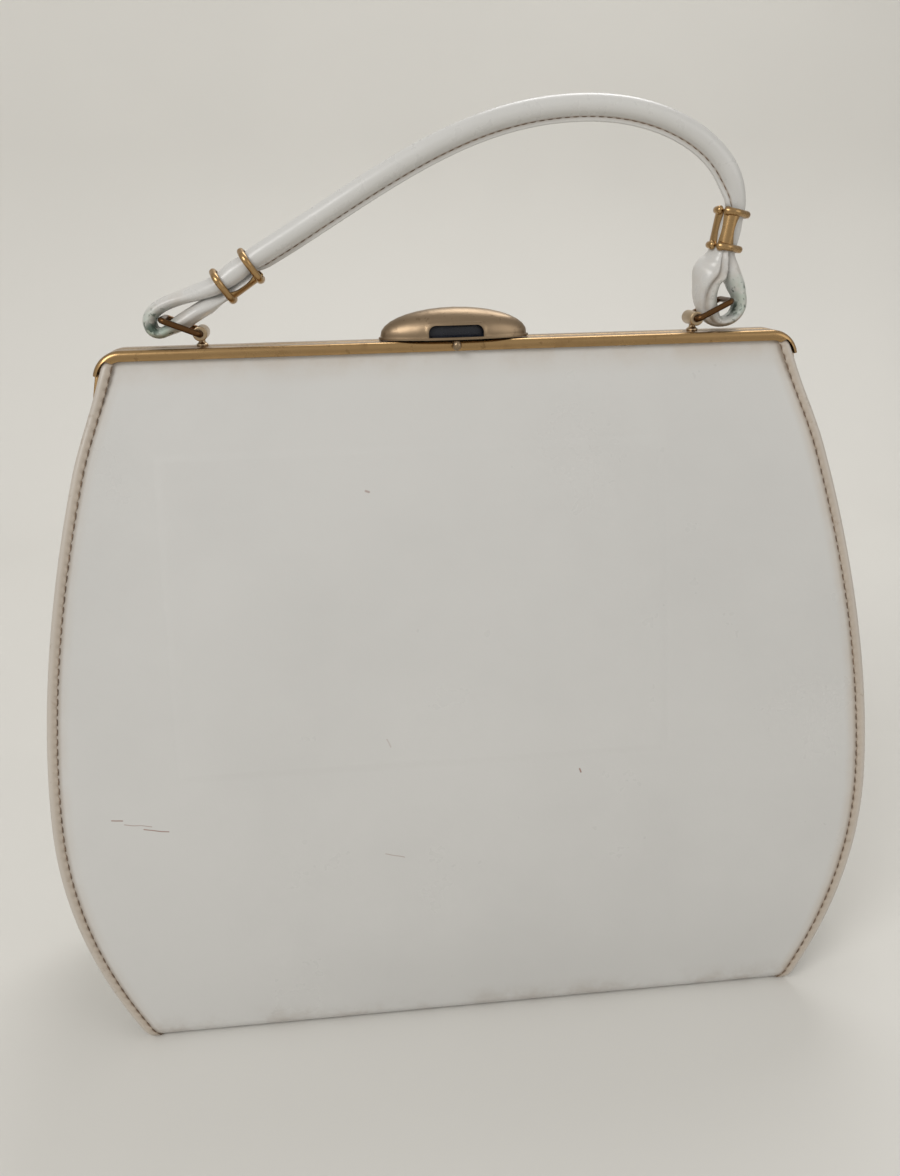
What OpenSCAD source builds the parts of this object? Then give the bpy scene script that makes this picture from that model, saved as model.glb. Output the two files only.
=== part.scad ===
// Frame handbag: a folded vinyl body on a hinged channel frame, with a lift-up
// domed clasp and a rolled handle that stands on two ring lugs.
// X runs across the bag, Y from front to back, Z up from the base. Millimetres.

/* [Body] */
// Width over the edge bindings at the widest level
body_w = 270; // [250:1:290]
// Height of the widest level above the base
widest_z = 80; // [65:1:95]
// Width over the edge bindings at the base
base_w = 224; // [206:1:240]
// Depth of the base from the front fold to the back fold
base_d = 76; // [66:1:88]
// Radius of the soft fold along the base
fold_r = 5; // [4:0.5:7]
// Thickness of the vinyl with its backing
shell_t = 1.6; // [1.3:0.1:1.9]
// Width of the rolled edge binding
binding_w = 3.4; // [2.8:0.1:4]

/* [Frame] */
// Height of the frame's top above the base
frame_z = 226.8; // [212:0.2:240]
// Width of the frame over its round corners
frame_w = 221; // [208:1:232]
// Depth over both halves of the frame
frame_d = 14; // [13:0.5:16]
// Height of the frame's channel bar
bar_h = 3.2; // [2.9:0.1:3.6]
// Outer radius of the frame's corners
corner_r = 9; // [8:0.5:11]
// Drop of the hinge rivets below the frame's top
hinge_drop = 42.8; // [38:0.2:48]
// Diameter of the hinge rivets
rivet_d = 2.1; // [1.8:0.1:2.4]

/* [Clasp] */
// Length of the clasp dome
clasp_w = 46; // [40:1:54]
// Depth of the clasp dome
clasp_d = 16; // [15:0.5:18]
// Height of the clasp dome
clasp_h = 9.3; // [8.8:0.1:10.5]
// Width of the thumb opening
thumb_w = 17; // [14:0.5:19]
// Diameter of the ball on the catch stud
ball_d = 2.9; // [2.4:0.1:3.2]

/* [Handle] */
// Distance of each lug from the middle of the frame
lug_x = 78; // [70:1:84]
// Length of the lug tubes
lug_len = 9; // [8.6:0.1:9.6]
// Diameter of the ring wire
wire_d = 1.9; // [1.6:0.1:2]
// Length of the rings from bar to bar
ring_len = 12; // [11.6:0.1:12.4]
// Diameter of the rolled handle
cord_d = 6.4; // [5.8:0.1:6.6]
// Height of the handle's crown above the frame's top
handle_rise = 67; // [60:1:80]
// Distance of the handle's crown to the right of the middle
handle_lean = 42; // [20:1:50]

/* [Hidden] */

$fn = 48;
VINYL = "#e9e7e2";
EDGE = "#ddd3c2";
GOLD = "#b8935a";
CLOTH = "#d8cdb8";

// Frame: bar, corner centre, channel slot and hinge level
bar_z = frame_z - bar_h;
corner_x = frame_w / 2 - corner_r;
corner_z = frame_z - corner_r;
seam = 0.15;
wall = 1.3;
slot_top = 1.9;
slot_in = 1.9;
slot_out = frame_d / 2 - wall;
hinge_z = frame_z - hinge_drop;

// Body: mouth sizes, insets of the gusset and the lining from the outline
mouth_w = frame_w - 4;
mouth_d = 2 * slot_out - 0.8;
tuck_r = corner_r - wall - 0.7;
edge_top = corner_z + 0.8;
gusset_in = 7.6;
gusset_t = 1.2;
board_t = 1.8;
lining_gap = 0.4;
lining_t = 0.7;
lining_in = gusset_in + gusset_t + 2.6;
lining_o = shell_t + lining_gap;
lining_z = shell_t + board_t;

// Half width of the outline and half depth of the side view at height z
function half_w(z) = z < widest_z
    ? base_w / 2 + (body_w - base_w) / 2 * (1 - pow((widest_z - z) / widest_z, 2))
    : mouth_w / 2 + (body_w - mouth_w) / 2
        * (1 - pow((z - widest_z) / (bar_z - widest_z), 1.85));
function half_d(z) = z > bar_z ? mouth_d / 2
    : mouth_d / 2 + (base_d - mouth_d) / 2 * (1 - pow(z / bar_z, 1.9));
function lean_d(z) = (half_d(z - 0.5) - half_d(z + 0.5));

// Levels at which the outline and the side view are sampled
function levels(lo, hi, n) = [for (i = [0:n]) lo + (hi - lo) * i / n];
fold_y = half_d(fold_r) - fold_r;
tuck_z = corner_z + tuck_r;
level_z = concat(levels(fold_r, corner_z, 22), levels(corner_z + 1.2, tuck_z, 5));

// One half of the side view at a depth o under its surface, from the base upwards
function side_half(o) = concat(
    [for (a = [-90:18:-18]) [fold_y + (fold_r - o) * cos(a), fold_r + (fold_r - o) * sin(a)]],
    [for (z = level_z) [half_d(z) - o, z]]);
function flipped(p) = [for (i = [len(p) - 1:-1:0]) [-p[i][0], p[i][1]]];

// Whole side view, drawn out across the bag
module side_solid(o, x0, x1) {
    p = side_half(o);
    translate([x0, 0, 0])
        rotate([90, 0, 90])
            linear_extrude(x1 - x0)
                polygon(concat(p, flipped(p)));
}

// Front outline at an inset e, drawn out through the bag's depth
module front_solid(e, top) {
    p = [for (z = concat(levels(-1, corner_z, 24), levels(corner_z + 1.2, top, 5)))
        [half_w(z) - e, z]];
    rotate([90, 0, 0])
        linear_extrude(base_d + 8, center = true)
            polygon(concat(p, flipped(p)));
}

// Outline of the folded sheet, with its top corners cut round to fit the frame's channel
function tuck_x(z) = z <= corner_z ? 999
    : corner_x + sqrt(max(0, tuck_r * tuck_r - (z - corner_z) * (z - corner_z)));
module sheet_solid() {
    zs = concat(levels(-1, corner_z, 48), levels(corner_z + 1.2, tuck_z, 5));
    p = [for (z = zs) [min(half_w(z) - binding_w, tuck_x(z)), z]];
    rotate([90, 0, 0])
        linear_extrude(base_d + 8, center = true)
            polygon(concat(p, flipped(p)));
}

module body_wrapper() {
    color(VINYL)
        intersection() {
            difference() {
                side_solid(0, -body_w, body_w);
                side_solid(shell_t, -body_w - 1, body_w + 1);
            }
            sheet_solid();
        }
}

// Wedge that opens the gusset between the frame's arms
module mouth_wedge() {
    translate([-body_w, 0, 0])
        rotate([90, 0, 90])
            linear_extrude(2 * body_w)
                polygon([[0, hinge_z + 6], [3.4, frame_z], [-3.4, frame_z]]);
}

// Side panel that follows the outline between the front and the back, right side
module gusset() {
    zs = levels(0, edge_top, 24);
    outer = [for (z = zs) [half_w(z) - gusset_in, z]];
    inner = [for (i = [len(zs) - 1:-1:0]) [half_w(zs[i]) - gusset_in - gusset_t, zs[i]]];
    color(VINYL)
        difference() {
            intersection() {
                rotate([90, 0, 0])
                    linear_extrude(base_d + 8, center = true)
                        polygon(concat(outer, inner));
                side_solid(shell_t, 0, body_w);
            }
            mouth_wedge();
            translate([0, 0, hinge_z])
                rotate([0, 90, 0])
                    cylinder(h = body_w, d = rivet_d);
        }
}
module right_gusset() {
    gusset();
}
module left_gusset() {
    mirror([1, 0, 0])
        gusset();
}

// Edge binding: a D-shaped roll along the edge, ending under the fold
bind_r = (shell_t + 1.1) / 2;
bind_gap = 0.03;
bind_sec = concat([[bind_gap, -2 * bind_r + 0.5]],
    [for (a = [-90:30:90])
        [binding_w - bind_r + bind_r * cos(a), 0.5 - bind_r + bind_r * sin(a)]],
    [[bind_gap, 0.5]]);
bind_path = concat(
    [for (a = [-50, -25]) [fold_y + fold_r * cos(a), fold_r + fold_r * sin(a), a]],
    [for (z = levels(fold_r, edge_top - 0.2, 40)) [half_d(z), z, atan(lean_d(z))]]);

// Closed skin of a tube made of m rings with n points each
function tube_faces(m, n) = concat(
    [[for (k = [0:n - 1]) k]],
    [for (i = [0:m - 2], k = [0:n - 1])
        [i * n + k, (i + 1) * n + k, (i + 1) * n + (k + 1) % n, i * n + (k + 1) % n]],
    [[for (k = [n - 1:-1:0]) (m - 1) * n + k]]);

module binding() {
    pts = [for (q = bind_path, s = bind_sec) let (z = q[1] + s[1] * sin(q[2]))
        [half_w(z) - binding_w + s[0], q[0] + s[1] * cos(q[2]), z]];
    color(EDGE)
        polyhedron(pts, tube_faces(len(bind_path), len(bind_sec)), convexity = 6);
}
module right_back_binding() {
    binding();
}
module left_back_binding() {
    mirror([1, 0, 0])
        binding();
}
module right_front_binding() {
    mirror([0, 1, 0])
        binding();
}
module left_front_binding() {
    mirror([1, 0, 0])
        mirror([0, 1, 0])
            binding();
}

// Stiff board that keeps the base flat
module base_board() {
    w = half_w(0) - gusset_in - gusset_t - 0.6;
    d = fold_y - 0.6;
    color("#8a7a64")
        translate([-w, -d, shell_t])
            cube([2 * w, 2 * d, board_t]);
}

module lining() {
    color(CLOTH)
        difference() {
            intersection() {
                side_solid(lining_o, -body_w, body_w);
                front_solid(lining_in, frame_z);
                translate([-body_w, -base_d, lining_z])
                    cube([2 * body_w, 2 * base_d, frame_z]);
            }
            intersection() {
                side_solid(lining_o + lining_t, -body_w, body_w);
                front_solid(lining_in + lining_t, frame_z + 1);
                translate([-body_w, -base_d, lining_z + lining_t])
                    cube([2 * body_w, 2 * base_d, frame_z]);
            }
            mouth_wedge();
            translate([-body_w, -mouth_d / 2 + lining_o + lining_t, edge_top])
                cube([2 * body_w, mouth_d - 2 * lining_o - 2 * lining_t, frame_z]);
        }
}

// Flat pocket on the back of the lining
pocket_w = base_w * 0.55;
pocket_z = [widest_z * 0.6, widest_z * 1.7];
module lining_pocket() {
    color(CLOTH)
        intersection() {
            difference() {
                side_solid(lining_o + lining_t, -pocket_w / 2, pocket_w / 2);
                side_solid(lining_o + lining_t + 0.8, -body_w, body_w);
            }
            translate([-body_w, 0, pocket_z[0]])
                cube([2 * body_w, base_d, pocket_z[1] - pocket_z[0]]);
        }
}

// Section of the frame's channel: p is the height over the slot side, q the depth from the seam
bar_sec = concat([[0, seam], [0, frame_d / 2]],
    [for (a = [0:15:90])
        [bar_h - 1.6 + 1.6 * sin(a), frame_d / 2 - 1.6 + 1.6 * cos(a)]],
    [[bar_h, seam + 0.4], [bar_h - 0.4, seam]]);
module bar_profile() {
    difference() {
        polygon(bar_sec);
        translate([-1, slot_in])
            square([1 + slot_top, slot_out - slot_in]);
    }
}

// Arms: lean of the arm, thickness across X and depth of each half's arm
arm_in = 2.7;
arm_t = 2.6;
arm_d = 3.6;
arm_set = 0.2;
arm_x = half_w(hinge_z) - arm_in;
eye_r = 3.4;
eye_t = 1.4;
eye_gap = 0.3;
eye_set = 2.1;
eye_clear = 0.6;
rivet_gap = 0.05;

// The arm's outer face is tangent to the corner and points at the eyes
arm_run = [arm_x - corner_x, corner_z - hinge_z];
arm_a = acos(corner_r / norm(arm_run)) - atan2(arm_run[1], arm_run[0]);
arm_len = (arm_run[1] - eye_r - eye_clear + (corner_r - arm_t) * sin(arm_a)) / cos(arm_a);
foot_h = 3;
foot_d = arm_d - 0.3;
foot_in = arm_set + arm_t / cos(arm_a) + (eye_r + eye_clear + foot_h) * tan(arm_a);

// Front half of the frame, with the eyes at a distance eye_x from the arm's outer face
module frame_half(eye_x) {
    color(GOLD)
        difference() {
            union() {
                mirror([0, 1, 0])
                    translate([0, 0, bar_z])
                        rotate([0, -90, 0])
                            linear_extrude(2 * corner_x, center = true)
                                bar_profile();
                for (s = [0, 1])
                    mirror([s, 0, 0])
                        frame_corner(eye_x);
            }
            for (s = [0, 1])
                mirror([s, 0, 0])
                    translate([arm_x - 10, 0, hinge_z])
                        rotate([0, 90, 0])
                            cylinder(h = 20, d = rivet_d + 2 * rivet_gap);
        }
}
module frame_corner(eye_x) {
    translate([corner_x, 0, corner_z]) {
        rotate([90, 0, 0])
            rotate([0, 0, 90])
                mirror([0, 1, 0])
                    rotate_extrude(angle = 90 - arm_a)
                        translate([corner_r - bar_h, 0])
                            bar_profile();
        rotate([0, -arm_a, 0])
            translate([corner_r - arm_t - arm_set, -arm_d, -arm_len])
                cube([arm_t, arm_d - seam, arm_len + 0.6]);
    }
    translate([arm_x - eye_x, 0, hinge_z]) {
        rotate([0, 90, 0])
            cylinder(h = eye_t, r = eye_r);
        translate([0, -foot_d, 0])
            cube([eye_t, foot_d - 2 * seam, eye_r + eye_clear + foot_h]);
    }
    translate([arm_x - max(foot_in, eye_x), -foot_d, hinge_z + eye_r + eye_clear])
        cube([max(foot_in, eye_x) - eye_x + eye_t, foot_d - 2 * seam, foot_h]);
}
module front_frame() {
    frame_half(eye_set);
}
module back_frame() {
    mirror([0, 1, 0])
        frame_half(eye_set + eye_t + eye_gap);
}

// Hinge rivet through the gusset and both eyes, right side
rivet_in = gusset_in + gusset_t - arm_in + 1.6;
module hinge_rivet() {
    color(GOLD)
        translate([arm_x, 0, hinge_z])
            rotate([0, 90, 0]) {
                translate([0, 0, -rivet_in + 0.1])
                    cylinder(h = rivet_in - 0.1, d = rivet_d);
                translate([0, 0, -rivet_in])
                    cylinder(h = 0.95, r = 2.2);
                translate([0, 0, -eye_set + eye_t + 0.2])
                    rotate_extrude()
                        polygon(concat([[0, 0], [2.3, 0]],
                            [for (a = [20:20:80]) [2.3 * cos(a), 1.1 * sin(a)]], [[0, 1.1]]));
            }
}
module right_hinge_rivet() {
    hinge_rivet();
}
module left_hinge_rivet() {
    mirror([1, 0, 0])
        hinge_rivet();
}

// Clasp: base level, level of the dome's widest line and hinge axis behind it
clasp_z = frame_z + 0.3;
dome_r = clasp_d / 2;
dome_z = clasp_z + clasp_h - dome_r;
dome_t = 1;
pivot_y = dome_r - 0.8;
pivot_z = clasp_z + 2.2;
pivot_d = 1.4;
knuckle_r = 1.5;
knuckle_w = 9.6;
ear_w = 3.4;

// Solid of revolution about X: the upper half of the dome at a size reduced by g
module dome_round(g) {
    w = clasp_w / 2 - g;
    r = dome_r - g;
    translate([0, 0, dome_z])
        intersection() {
            rotate([0, 90, 0])
                rotate_extrude()
                    polygon(concat([[0, -w]],
                        [for (a = [-80:10:80]) [r * cos(a), w * sin(a)]], [[0, w]]));
            translate([-clasp_w, -clasp_d, 0])
                cube([2 * clasp_w, 2 * clasp_d, clasp_h]);
        }
}
module dome_skirt(g, z0, z1) {
    w = clasp_w / 2 - g;
    r = dome_r - g;
    translate([0, 0, z0])
        linear_extrude(z1 - z0)
            polygon([for (a = [0:10:350]) [w * cos(a), r * sin(a)]]);
}

// Thumb opening in the front of the dome, with a rounded top, grown by g
module thumb_cut(g) {
    w = thumb_w / 2 + g;
    h = 4.3 + g;
    c = 2.2;
    rotate([90, 0, 0])
        linear_extrude(clasp_d)
            translate([0, clasp_z])
                polygon(concat([[-w, 0.7 - g], [w, 0.7 - g]],
                    [for (a = [0:15:90]) [w - c + c * cos(a), h - c + c * sin(a)]],
                    [for (a = [90:15:180]) [-w + c + c * cos(a), h - c + c * sin(a)]]));
}
module clasp_dome() {
    color(GOLD)
        difference() {
            union() {
                difference() {
                    union() {
                        dome_round(0);
                        dome_skirt(0, clasp_z + 0.7, dome_z);
                        dome_skirt(-0.6, clasp_z, clasp_z + 0.7);
                        intersection() {
                            union() {
                                dome_round(-0.4);
                                dome_skirt(-0.4, clasp_z, dome_z);
                            }
                            thumb_cut(0.9);
                        }
                    }
                    dome_round(dome_t);
                    dome_skirt(dome_t, clasp_z - 1, dome_z);
                    translate([-knuckle_w / 2 - ear_w - 0.6, 3, clasp_z - 1])
                        cube([knuckle_w + 2 * ear_w + 1.2, clasp_d, 5]);
                }
                translate([-knuckle_w / 2, pivot_y, pivot_z])
                    rotate([0, 90, 0])
                        cylinder(h = knuckle_w, r = knuckle_r);
                intersection() {
                    translate([-knuckle_w / 2, pivot_y - 1.2, pivot_z])
                        cube([knuckle_w, 2, 3.6]);
                    dome_round(0);
                }
            }
            thumb_cut(0);
            translate([-knuckle_w, pivot_y, pivot_z])
                rotate([0, 90, 0])
                    cylinder(h = 2 * knuckle_w, d = pivot_d + 0.1);
        }
}

// Dark plate across the hollow of the dome, behind the thumb opening
module clasp_inlay() {
    color("#141a2c")
        intersection() {
            union() {
                dome_round(dome_t);
                dome_skirt(dome_t, clasp_z + 0.2, dome_z);
            }
            translate([-thumb_w / 2 - 3, -dome_r + 2.8, clasp_z])
                cube([thumb_w + 6, 0.8, clasp_h]);
        }
}

// Bracket on the back half of the frame, with an ear at each end of the dome's knuckle
module clasp_bracket() {
    color(GOLD)
        difference() {
            union() {
                translate([-knuckle_w / 2 - ear_w, 1.2, frame_z])
                    cube([knuckle_w + 2 * ear_w, frame_d / 2 - 1.6 - 1.2, 0.7]);
                for (s = [0, 1])
                    mirror([s, 0, 0])
                        translate([knuckle_w / 2 + 0.3, 0, 0]) {
                            translate([0, pivot_y, pivot_z])
                                rotate([0, 90, 0])
                                    cylinder(h = ear_w - 0.3, r = knuckle_r);
                            rotate([90, 0, 90])
                                linear_extrude(ear_w - 0.3)
                                    polygon([[3.4, frame_z], [frame_d / 2 - 1.6, frame_z],
                                        [pivot_y + 0.6, pivot_z - 1.3],
                                        [pivot_y - 1, pivot_z + 1], [pivot_y - 2.2, pivot_z]]);
                        }
            }
            translate([-clasp_w / 2, pivot_y, pivot_z])
                rotate([0, 90, 0])
                    cylinder(h = clasp_w, d = pivot_d);
        }
}
module clasp_pin() {
    l = knuckle_w + 2 * ear_w + 0.6;
    color(GOLD)
        translate([-l / 2, pivot_y, pivot_z])
            rotate([0, 90, 0])
                cylinder(h = l, d = pivot_d);
}

// Ball on a short stalk, on the face of the front half, just under the dome's rim
stud_z = bar_z + 0.9;
ball_up = clasp_z - 0.15 - ball_d / 2 - stud_z;
module catch_stud() {
    color(GOLD)
        translate([0, -frame_d / 2, stud_z]) {
            rotate([90, 0, 0])
                cylinder(h = 0.5, r = 0.85);
            rotate([90, 0, 0])
                cylinder(h = ball_d / 2 + 0.1, r = 0.7);
            translate([0, -ball_d / 2 - 0.1, 0])
                cylinder(h = ball_up, r = 0.7);
            translate([0, -ball_d / 2 - 0.1, ball_up])
                sphere(d = ball_d);
        }
}

// Lugs: tube across the frame on a stem with a foot, right side
lug_y = 3;
lug_z = frame_z + 3.8;
lug_r = 2;
module lug() {
    color(GOLD)
        translate([lug_x, lug_y, 0])
            difference() {
                union() {
                    translate([0, lug_len / 2, lug_z])
                        rotate([90, 0, 0])
                            cylinder(h = lug_len, r = lug_r);
                    translate([0, 0, frame_z])
                        rotate_extrude()
                            polygon([[0, 0], [1.7, 0], [1.7, 0.5], [1.1, 1.1], [1, 2.4],
                                [0, 2.4]]);
                }
                translate([0, lug_len, lug_z])
                    rotate([90, 0, 0])
                        cylinder(h = 2 * lug_len, d = wire_d + 0.1);
            }
}
module right_lug() {
    lug();
}
module left_lug() {
    mirror([1, 0, 0])
        lug();
}

// Rectangular wire ring about the lug's axis, pointing along +X
bend_r = 1.2;
ring_y = lug_len / 2 + 0.1 + bend_r;
module ring_shape() {
    for (x = [0, ring_len])
        translate([x, ring_y - bend_r, 0])
            rotate([90, 0, 0])
                cylinder(h = 2 * (ring_y - bend_r), d = wire_d);
    for (y = [-ring_y, ring_y])
        translate([bend_r, y, 0])
            rotate([0, 90, 0])
                cylinder(h = ring_len - 2 * bend_r, d = wire_d);
    for (i = [0, 1], j = [0, 1])
        translate([i == 0 ? bend_r : ring_len - bend_r, (j * 2 - 1) * (ring_y - bend_r), 0])
            rotate([0, 0, i == 0 ? (j == 0 ? 180 : 90) : (j == 0 ? 270 : 0)])
                rotate_extrude(angle = 90)
                    translate([bend_r, 0])
                        circle(d = wire_d);
}
right_ring_a = 26;
left_ring_a = 22;
module right_ring() {
    color(GOLD)
        translate([lug_x, lug_y, lug_z])
            rotate([0, -right_ring_a, 0])
                ring_shape();
}
module left_ring() {
    color(GOLD)
        mirror([1, 0, 0])
            translate([lug_x, lug_y, lug_z])
                rotate([0, -left_ring_a, 0])
                    ring_shape();
}

// Handle: centre and lean of each keeper, then the route of the strap in the plane of the lugs.
// u runs along a keeper towards the crown, v away from the inside of the handle.
keep_l = [-lug_x + 12.5, frame_z + 19.8];
keep_r = [lug_x + 9.4, frame_z + 30.5];
lean_l = 33;
lean_r = 80;
ul = [cos(lean_l), sin(lean_l)];
vl = [-sin(lean_l), cos(lean_l)];
ur = [cos(lean_r), sin(lean_r)];
vr = [sin(lean_r), -cos(lean_r)];
keep_half = 5.15;
main_v = keep_half - cord_d / 2 + 0.1;
back_v = -keep_half + 1.9;
function at_l(u, v) = keep_l + u * ul + v * vl;
function at_r(u, v) = keep_r + u * ur + v * vr;
function bez(p, t) = pow(1 - t, 3) * p[0] + 3 * (1 - t) * (1 - t) * t * p[1]
    + 3 * (1 - t) * t * t * p[2] + pow(t, 3) * p[3];
function mix(a, b, t) = a + (b - a) * t;

// Sections: half thickness in the plane, half width across it, length of the stitched flange
s_end = [1.9, 3.5, 0.02];
s_in = [2.7, 4.2, 0.02];
s_low = [1.6, 4.3, 0.02];
s_out = [2.1, 4.2, 0.02];
s_keep = [cord_d / 2 - 0.1, cord_d / 2, 0.02];
s_cord = [cord_d / 2, cord_d / 2, 1.8];
function run(p, s0, s1, n) = [for (i = [0:n - 1]) [bez(p, i / n), mix(s0, s1, i / n)]];
function line(a, b, s0, s1, n) = run([a, mix(a, b, 1 / 3), mix(a, b, 2 / 3), b], s0, s1, n);

crown = [handle_lean, frame_z + handle_rise];
l_low = [-lug_x - 11, frame_z + 4.4];
l_far = [-lug_x - 15.2, frame_z + 7.6];
r_far = [lug_x + 15, frame_z + 9.7];
r_low = [lug_x + 9, frame_z + 2.3];
r_in = [lug_x + 3.4, frame_z + 12.7];
route = concat(
    line(at_l(5.5, back_v), at_l(-6.5, back_v), s_end, s_end, 2),
    run([at_l(-6.5, back_v), at_l(-6.5, back_v) + [-6.3, -2.9], l_low + [5, 2.1], l_low],
        s_end, s_low, 1),
    [for (i = [1:4]) let (t = i / 5) [bez([at_l(-6.5, back_v), at_l(-6.5, back_v) + [-6.3, -2.9],
        l_low + [5, 2.1], l_low], t), i < 4 ? s_in : mix(s_in, s_low, 0.6)]],
    run([l_low, l_low + [-2.4, -1], l_far - [0, 2.6], l_far], s_low, s_out, 4),
    run([l_far, l_far + [0.5, 5.6], at_l(-6.5, main_v) + [-9, -3.2], at_l(-6.5, main_v)],
        s_out, s_out, 6),
    line(at_l(-6.5, main_v), at_l(6.5, main_v), s_keep, s_keep, 2),
    [[at_l(6.5, main_v), s_keep]],
    [for (i = [1:11]) [bez([at_l(6.5, main_v), at_l(6.5, main_v) + 45 * [cos(29), sin(29)],
        crown - [38, 0], crown], i / 12), s_cord]],
    [for (i = [0:9]) [bez([crown, crown + [28, 0], at_r(6.5, main_v) + [0.5, 16],
        at_r(6.5, main_v)], i / 10), s_cord]],
    line(at_r(6.5, main_v), at_r(-6.5, main_v), s_keep, s_keep, 2),
    run([at_r(-6.5, main_v), at_r(-10.5, main_v), r_far + [0, 6], r_far], s_keep, s_out, 1),
    [for (i = [1:4]) [bez([at_r(-6.5, main_v), at_r(-10.5, main_v), r_far + [0, 6], r_far],
        i / 5), s_out]],
    run([r_far, r_far - [0, 4.5], r_low + [3.8, 0], r_low], s_out, s_low, 5),
    run([r_low, r_low - [2.6, 0], r_in - [0, 5.5], r_in], s_low, s_in, 5),
    run([r_in, r_in + [0, 6], at_r(-11.5, back_v), at_r(-6.5, back_v)], s_in, s_end, 4),
    line(at_r(-6.5, back_v), at_r(5.5, back_v), s_end, s_end, 2),
    [[at_r(5.5, back_v), s_end]]);

// Ring of the strap's section: an oval with the flange on its inner side
function strap_sec(s) = concat(
    [for (a = [-150:30:150]) [s[0] * cos(a), s[1] * sin(a)]],
    [[-s[0], 0.7], [-s[0] - s[2], 0.7], [-s[0] - s[2], -0.7], [-s[0], -0.7]]);
function route_dir(i) = let (a = route[max(0, i - 1)][0], b = route[min(len(route) - 1, i + 1)][0])
    (b - a) / norm(b - a);
module handle_strap() {
    n = len(strap_sec(s_cord));
    pts = [for (i = [0:len(route) - 1])
        let (d = route_dir(i), c = route[i][0])
        for (q = strap_sec(route[i][1]))
            [c[0] - d[1] * q[0], lug_y + q[1], c[1] + d[0] * q[0]]];
    color(VINYL)
        polyhedron(pts, tube_faces(len(route), n), convexity = 10);
}

// Keeper: a bent blank round the cord and the returned end, with its window outwards
keep_len = 12.5;
keep_y = cord_d / 2 + 0.55;
keep_t = 0.7;
function round_rect(w, h, r) = [for (k = [0:3], a = [0:22.5:90])
    let (c = [[1, 1], [-1, 1], [-1, -1], [1, -1]][k])
    [c[0] * (w - r) + r * cos(a + 90 * k), c[1] * (h - r) + r * sin(a + 90 * k)]];
module keeper() {
    w = keep_half;
    h = keep_y;
    color(GOLD)
        translate([0, 0, -keep_len / 2])
            difference() {
                union() {
                    linear_extrude(keep_len)
                        polygon(round_rect(w + keep_t, h + keep_t, 3));
                    for (z = [0, keep_len - 1.9], g = [0, 1])
                        translate([0, 0, z + (1 - g) * 0.35])
                            linear_extrude(g == 0 ? 1.2 : 1.9)
                                polygon(round_rect(w + keep_t + 0.6 - 0.3 * g,
                                    h + keep_t + 0.6 - 0.3 * g, 3.3));
                }
                translate([0, 0, -1])
                    linear_extrude(keep_len + 2)
                        polygon(round_rect(w, h, 2.4));
                translate([0.8, -20, 1.9])
                    cube([20, 40, keep_len - 3.8]);
                translate([0.8, 20, keep_len / 2])
                    rotate([90, 0, 0])
                        cylinder(h = 40, r = keep_len / 2 - 2.4);
                translate([-20, -0.45, -1])
                    cube([17, 0.9, keep_len + 2]);
            }
}
module right_keeper() {
    translate([keep_r[0], lug_y, keep_r[1]])
        rotate([0, 90 - lean_r, 0])
            keeper();
}
module left_keeper() {
    translate([keep_l[0], lug_y, keep_l[1]])
        rotate([0, 90 - lean_l, 0])
            mirror([1, 0, 0])
                keeper();
}

body_wrapper();
left_gusset();
right_gusset();
left_front_binding();
right_front_binding();
left_back_binding();
right_back_binding();
base_board();
lining();
lining_pocket();
front_frame();
back_frame();
left_hinge_rivet();
right_hinge_rivet();
clasp_dome();
clasp_inlay();
clasp_bracket();
clasp_pin();
catch_stud();
left_lug();
right_lug();
left_ring();
right_ring();
handle_strap();
left_keeper();
right_keeper();
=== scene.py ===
"""Looks of a white vinyl frame handbag: sewn body, gold frame, lift clasp and rolled handle."""

import math

import bmesh
import bpy
import numpy as np
from bpy.props import FloatProperty, FloatVectorProperty, PointerProperty
from mathutils import Matrix


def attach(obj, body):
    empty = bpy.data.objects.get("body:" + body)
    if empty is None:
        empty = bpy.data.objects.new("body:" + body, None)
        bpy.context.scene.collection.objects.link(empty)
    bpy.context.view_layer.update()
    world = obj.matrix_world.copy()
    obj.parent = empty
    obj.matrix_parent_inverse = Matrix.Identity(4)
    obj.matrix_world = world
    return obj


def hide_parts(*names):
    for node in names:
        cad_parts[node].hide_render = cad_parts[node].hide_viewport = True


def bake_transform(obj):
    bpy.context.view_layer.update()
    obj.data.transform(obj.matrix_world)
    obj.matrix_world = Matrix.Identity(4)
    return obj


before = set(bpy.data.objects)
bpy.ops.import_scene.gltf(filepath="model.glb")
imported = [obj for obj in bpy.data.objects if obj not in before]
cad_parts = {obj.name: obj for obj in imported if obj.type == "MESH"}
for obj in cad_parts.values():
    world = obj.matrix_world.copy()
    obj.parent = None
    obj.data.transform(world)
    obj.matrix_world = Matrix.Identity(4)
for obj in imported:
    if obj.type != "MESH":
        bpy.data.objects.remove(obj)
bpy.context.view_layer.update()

bl_info = {
    "name": "Frame handbag",
    "version": (1, 0, 0),
    "blender": (4, 5, 0),
    "location": "View3D > Sidebar > Handbag",
    "description": "Builds the vinyl body, sewing, gold frame, clasp and handle of a frame handbag",
    "category": "Object",
}

MM = 0.001

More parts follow.
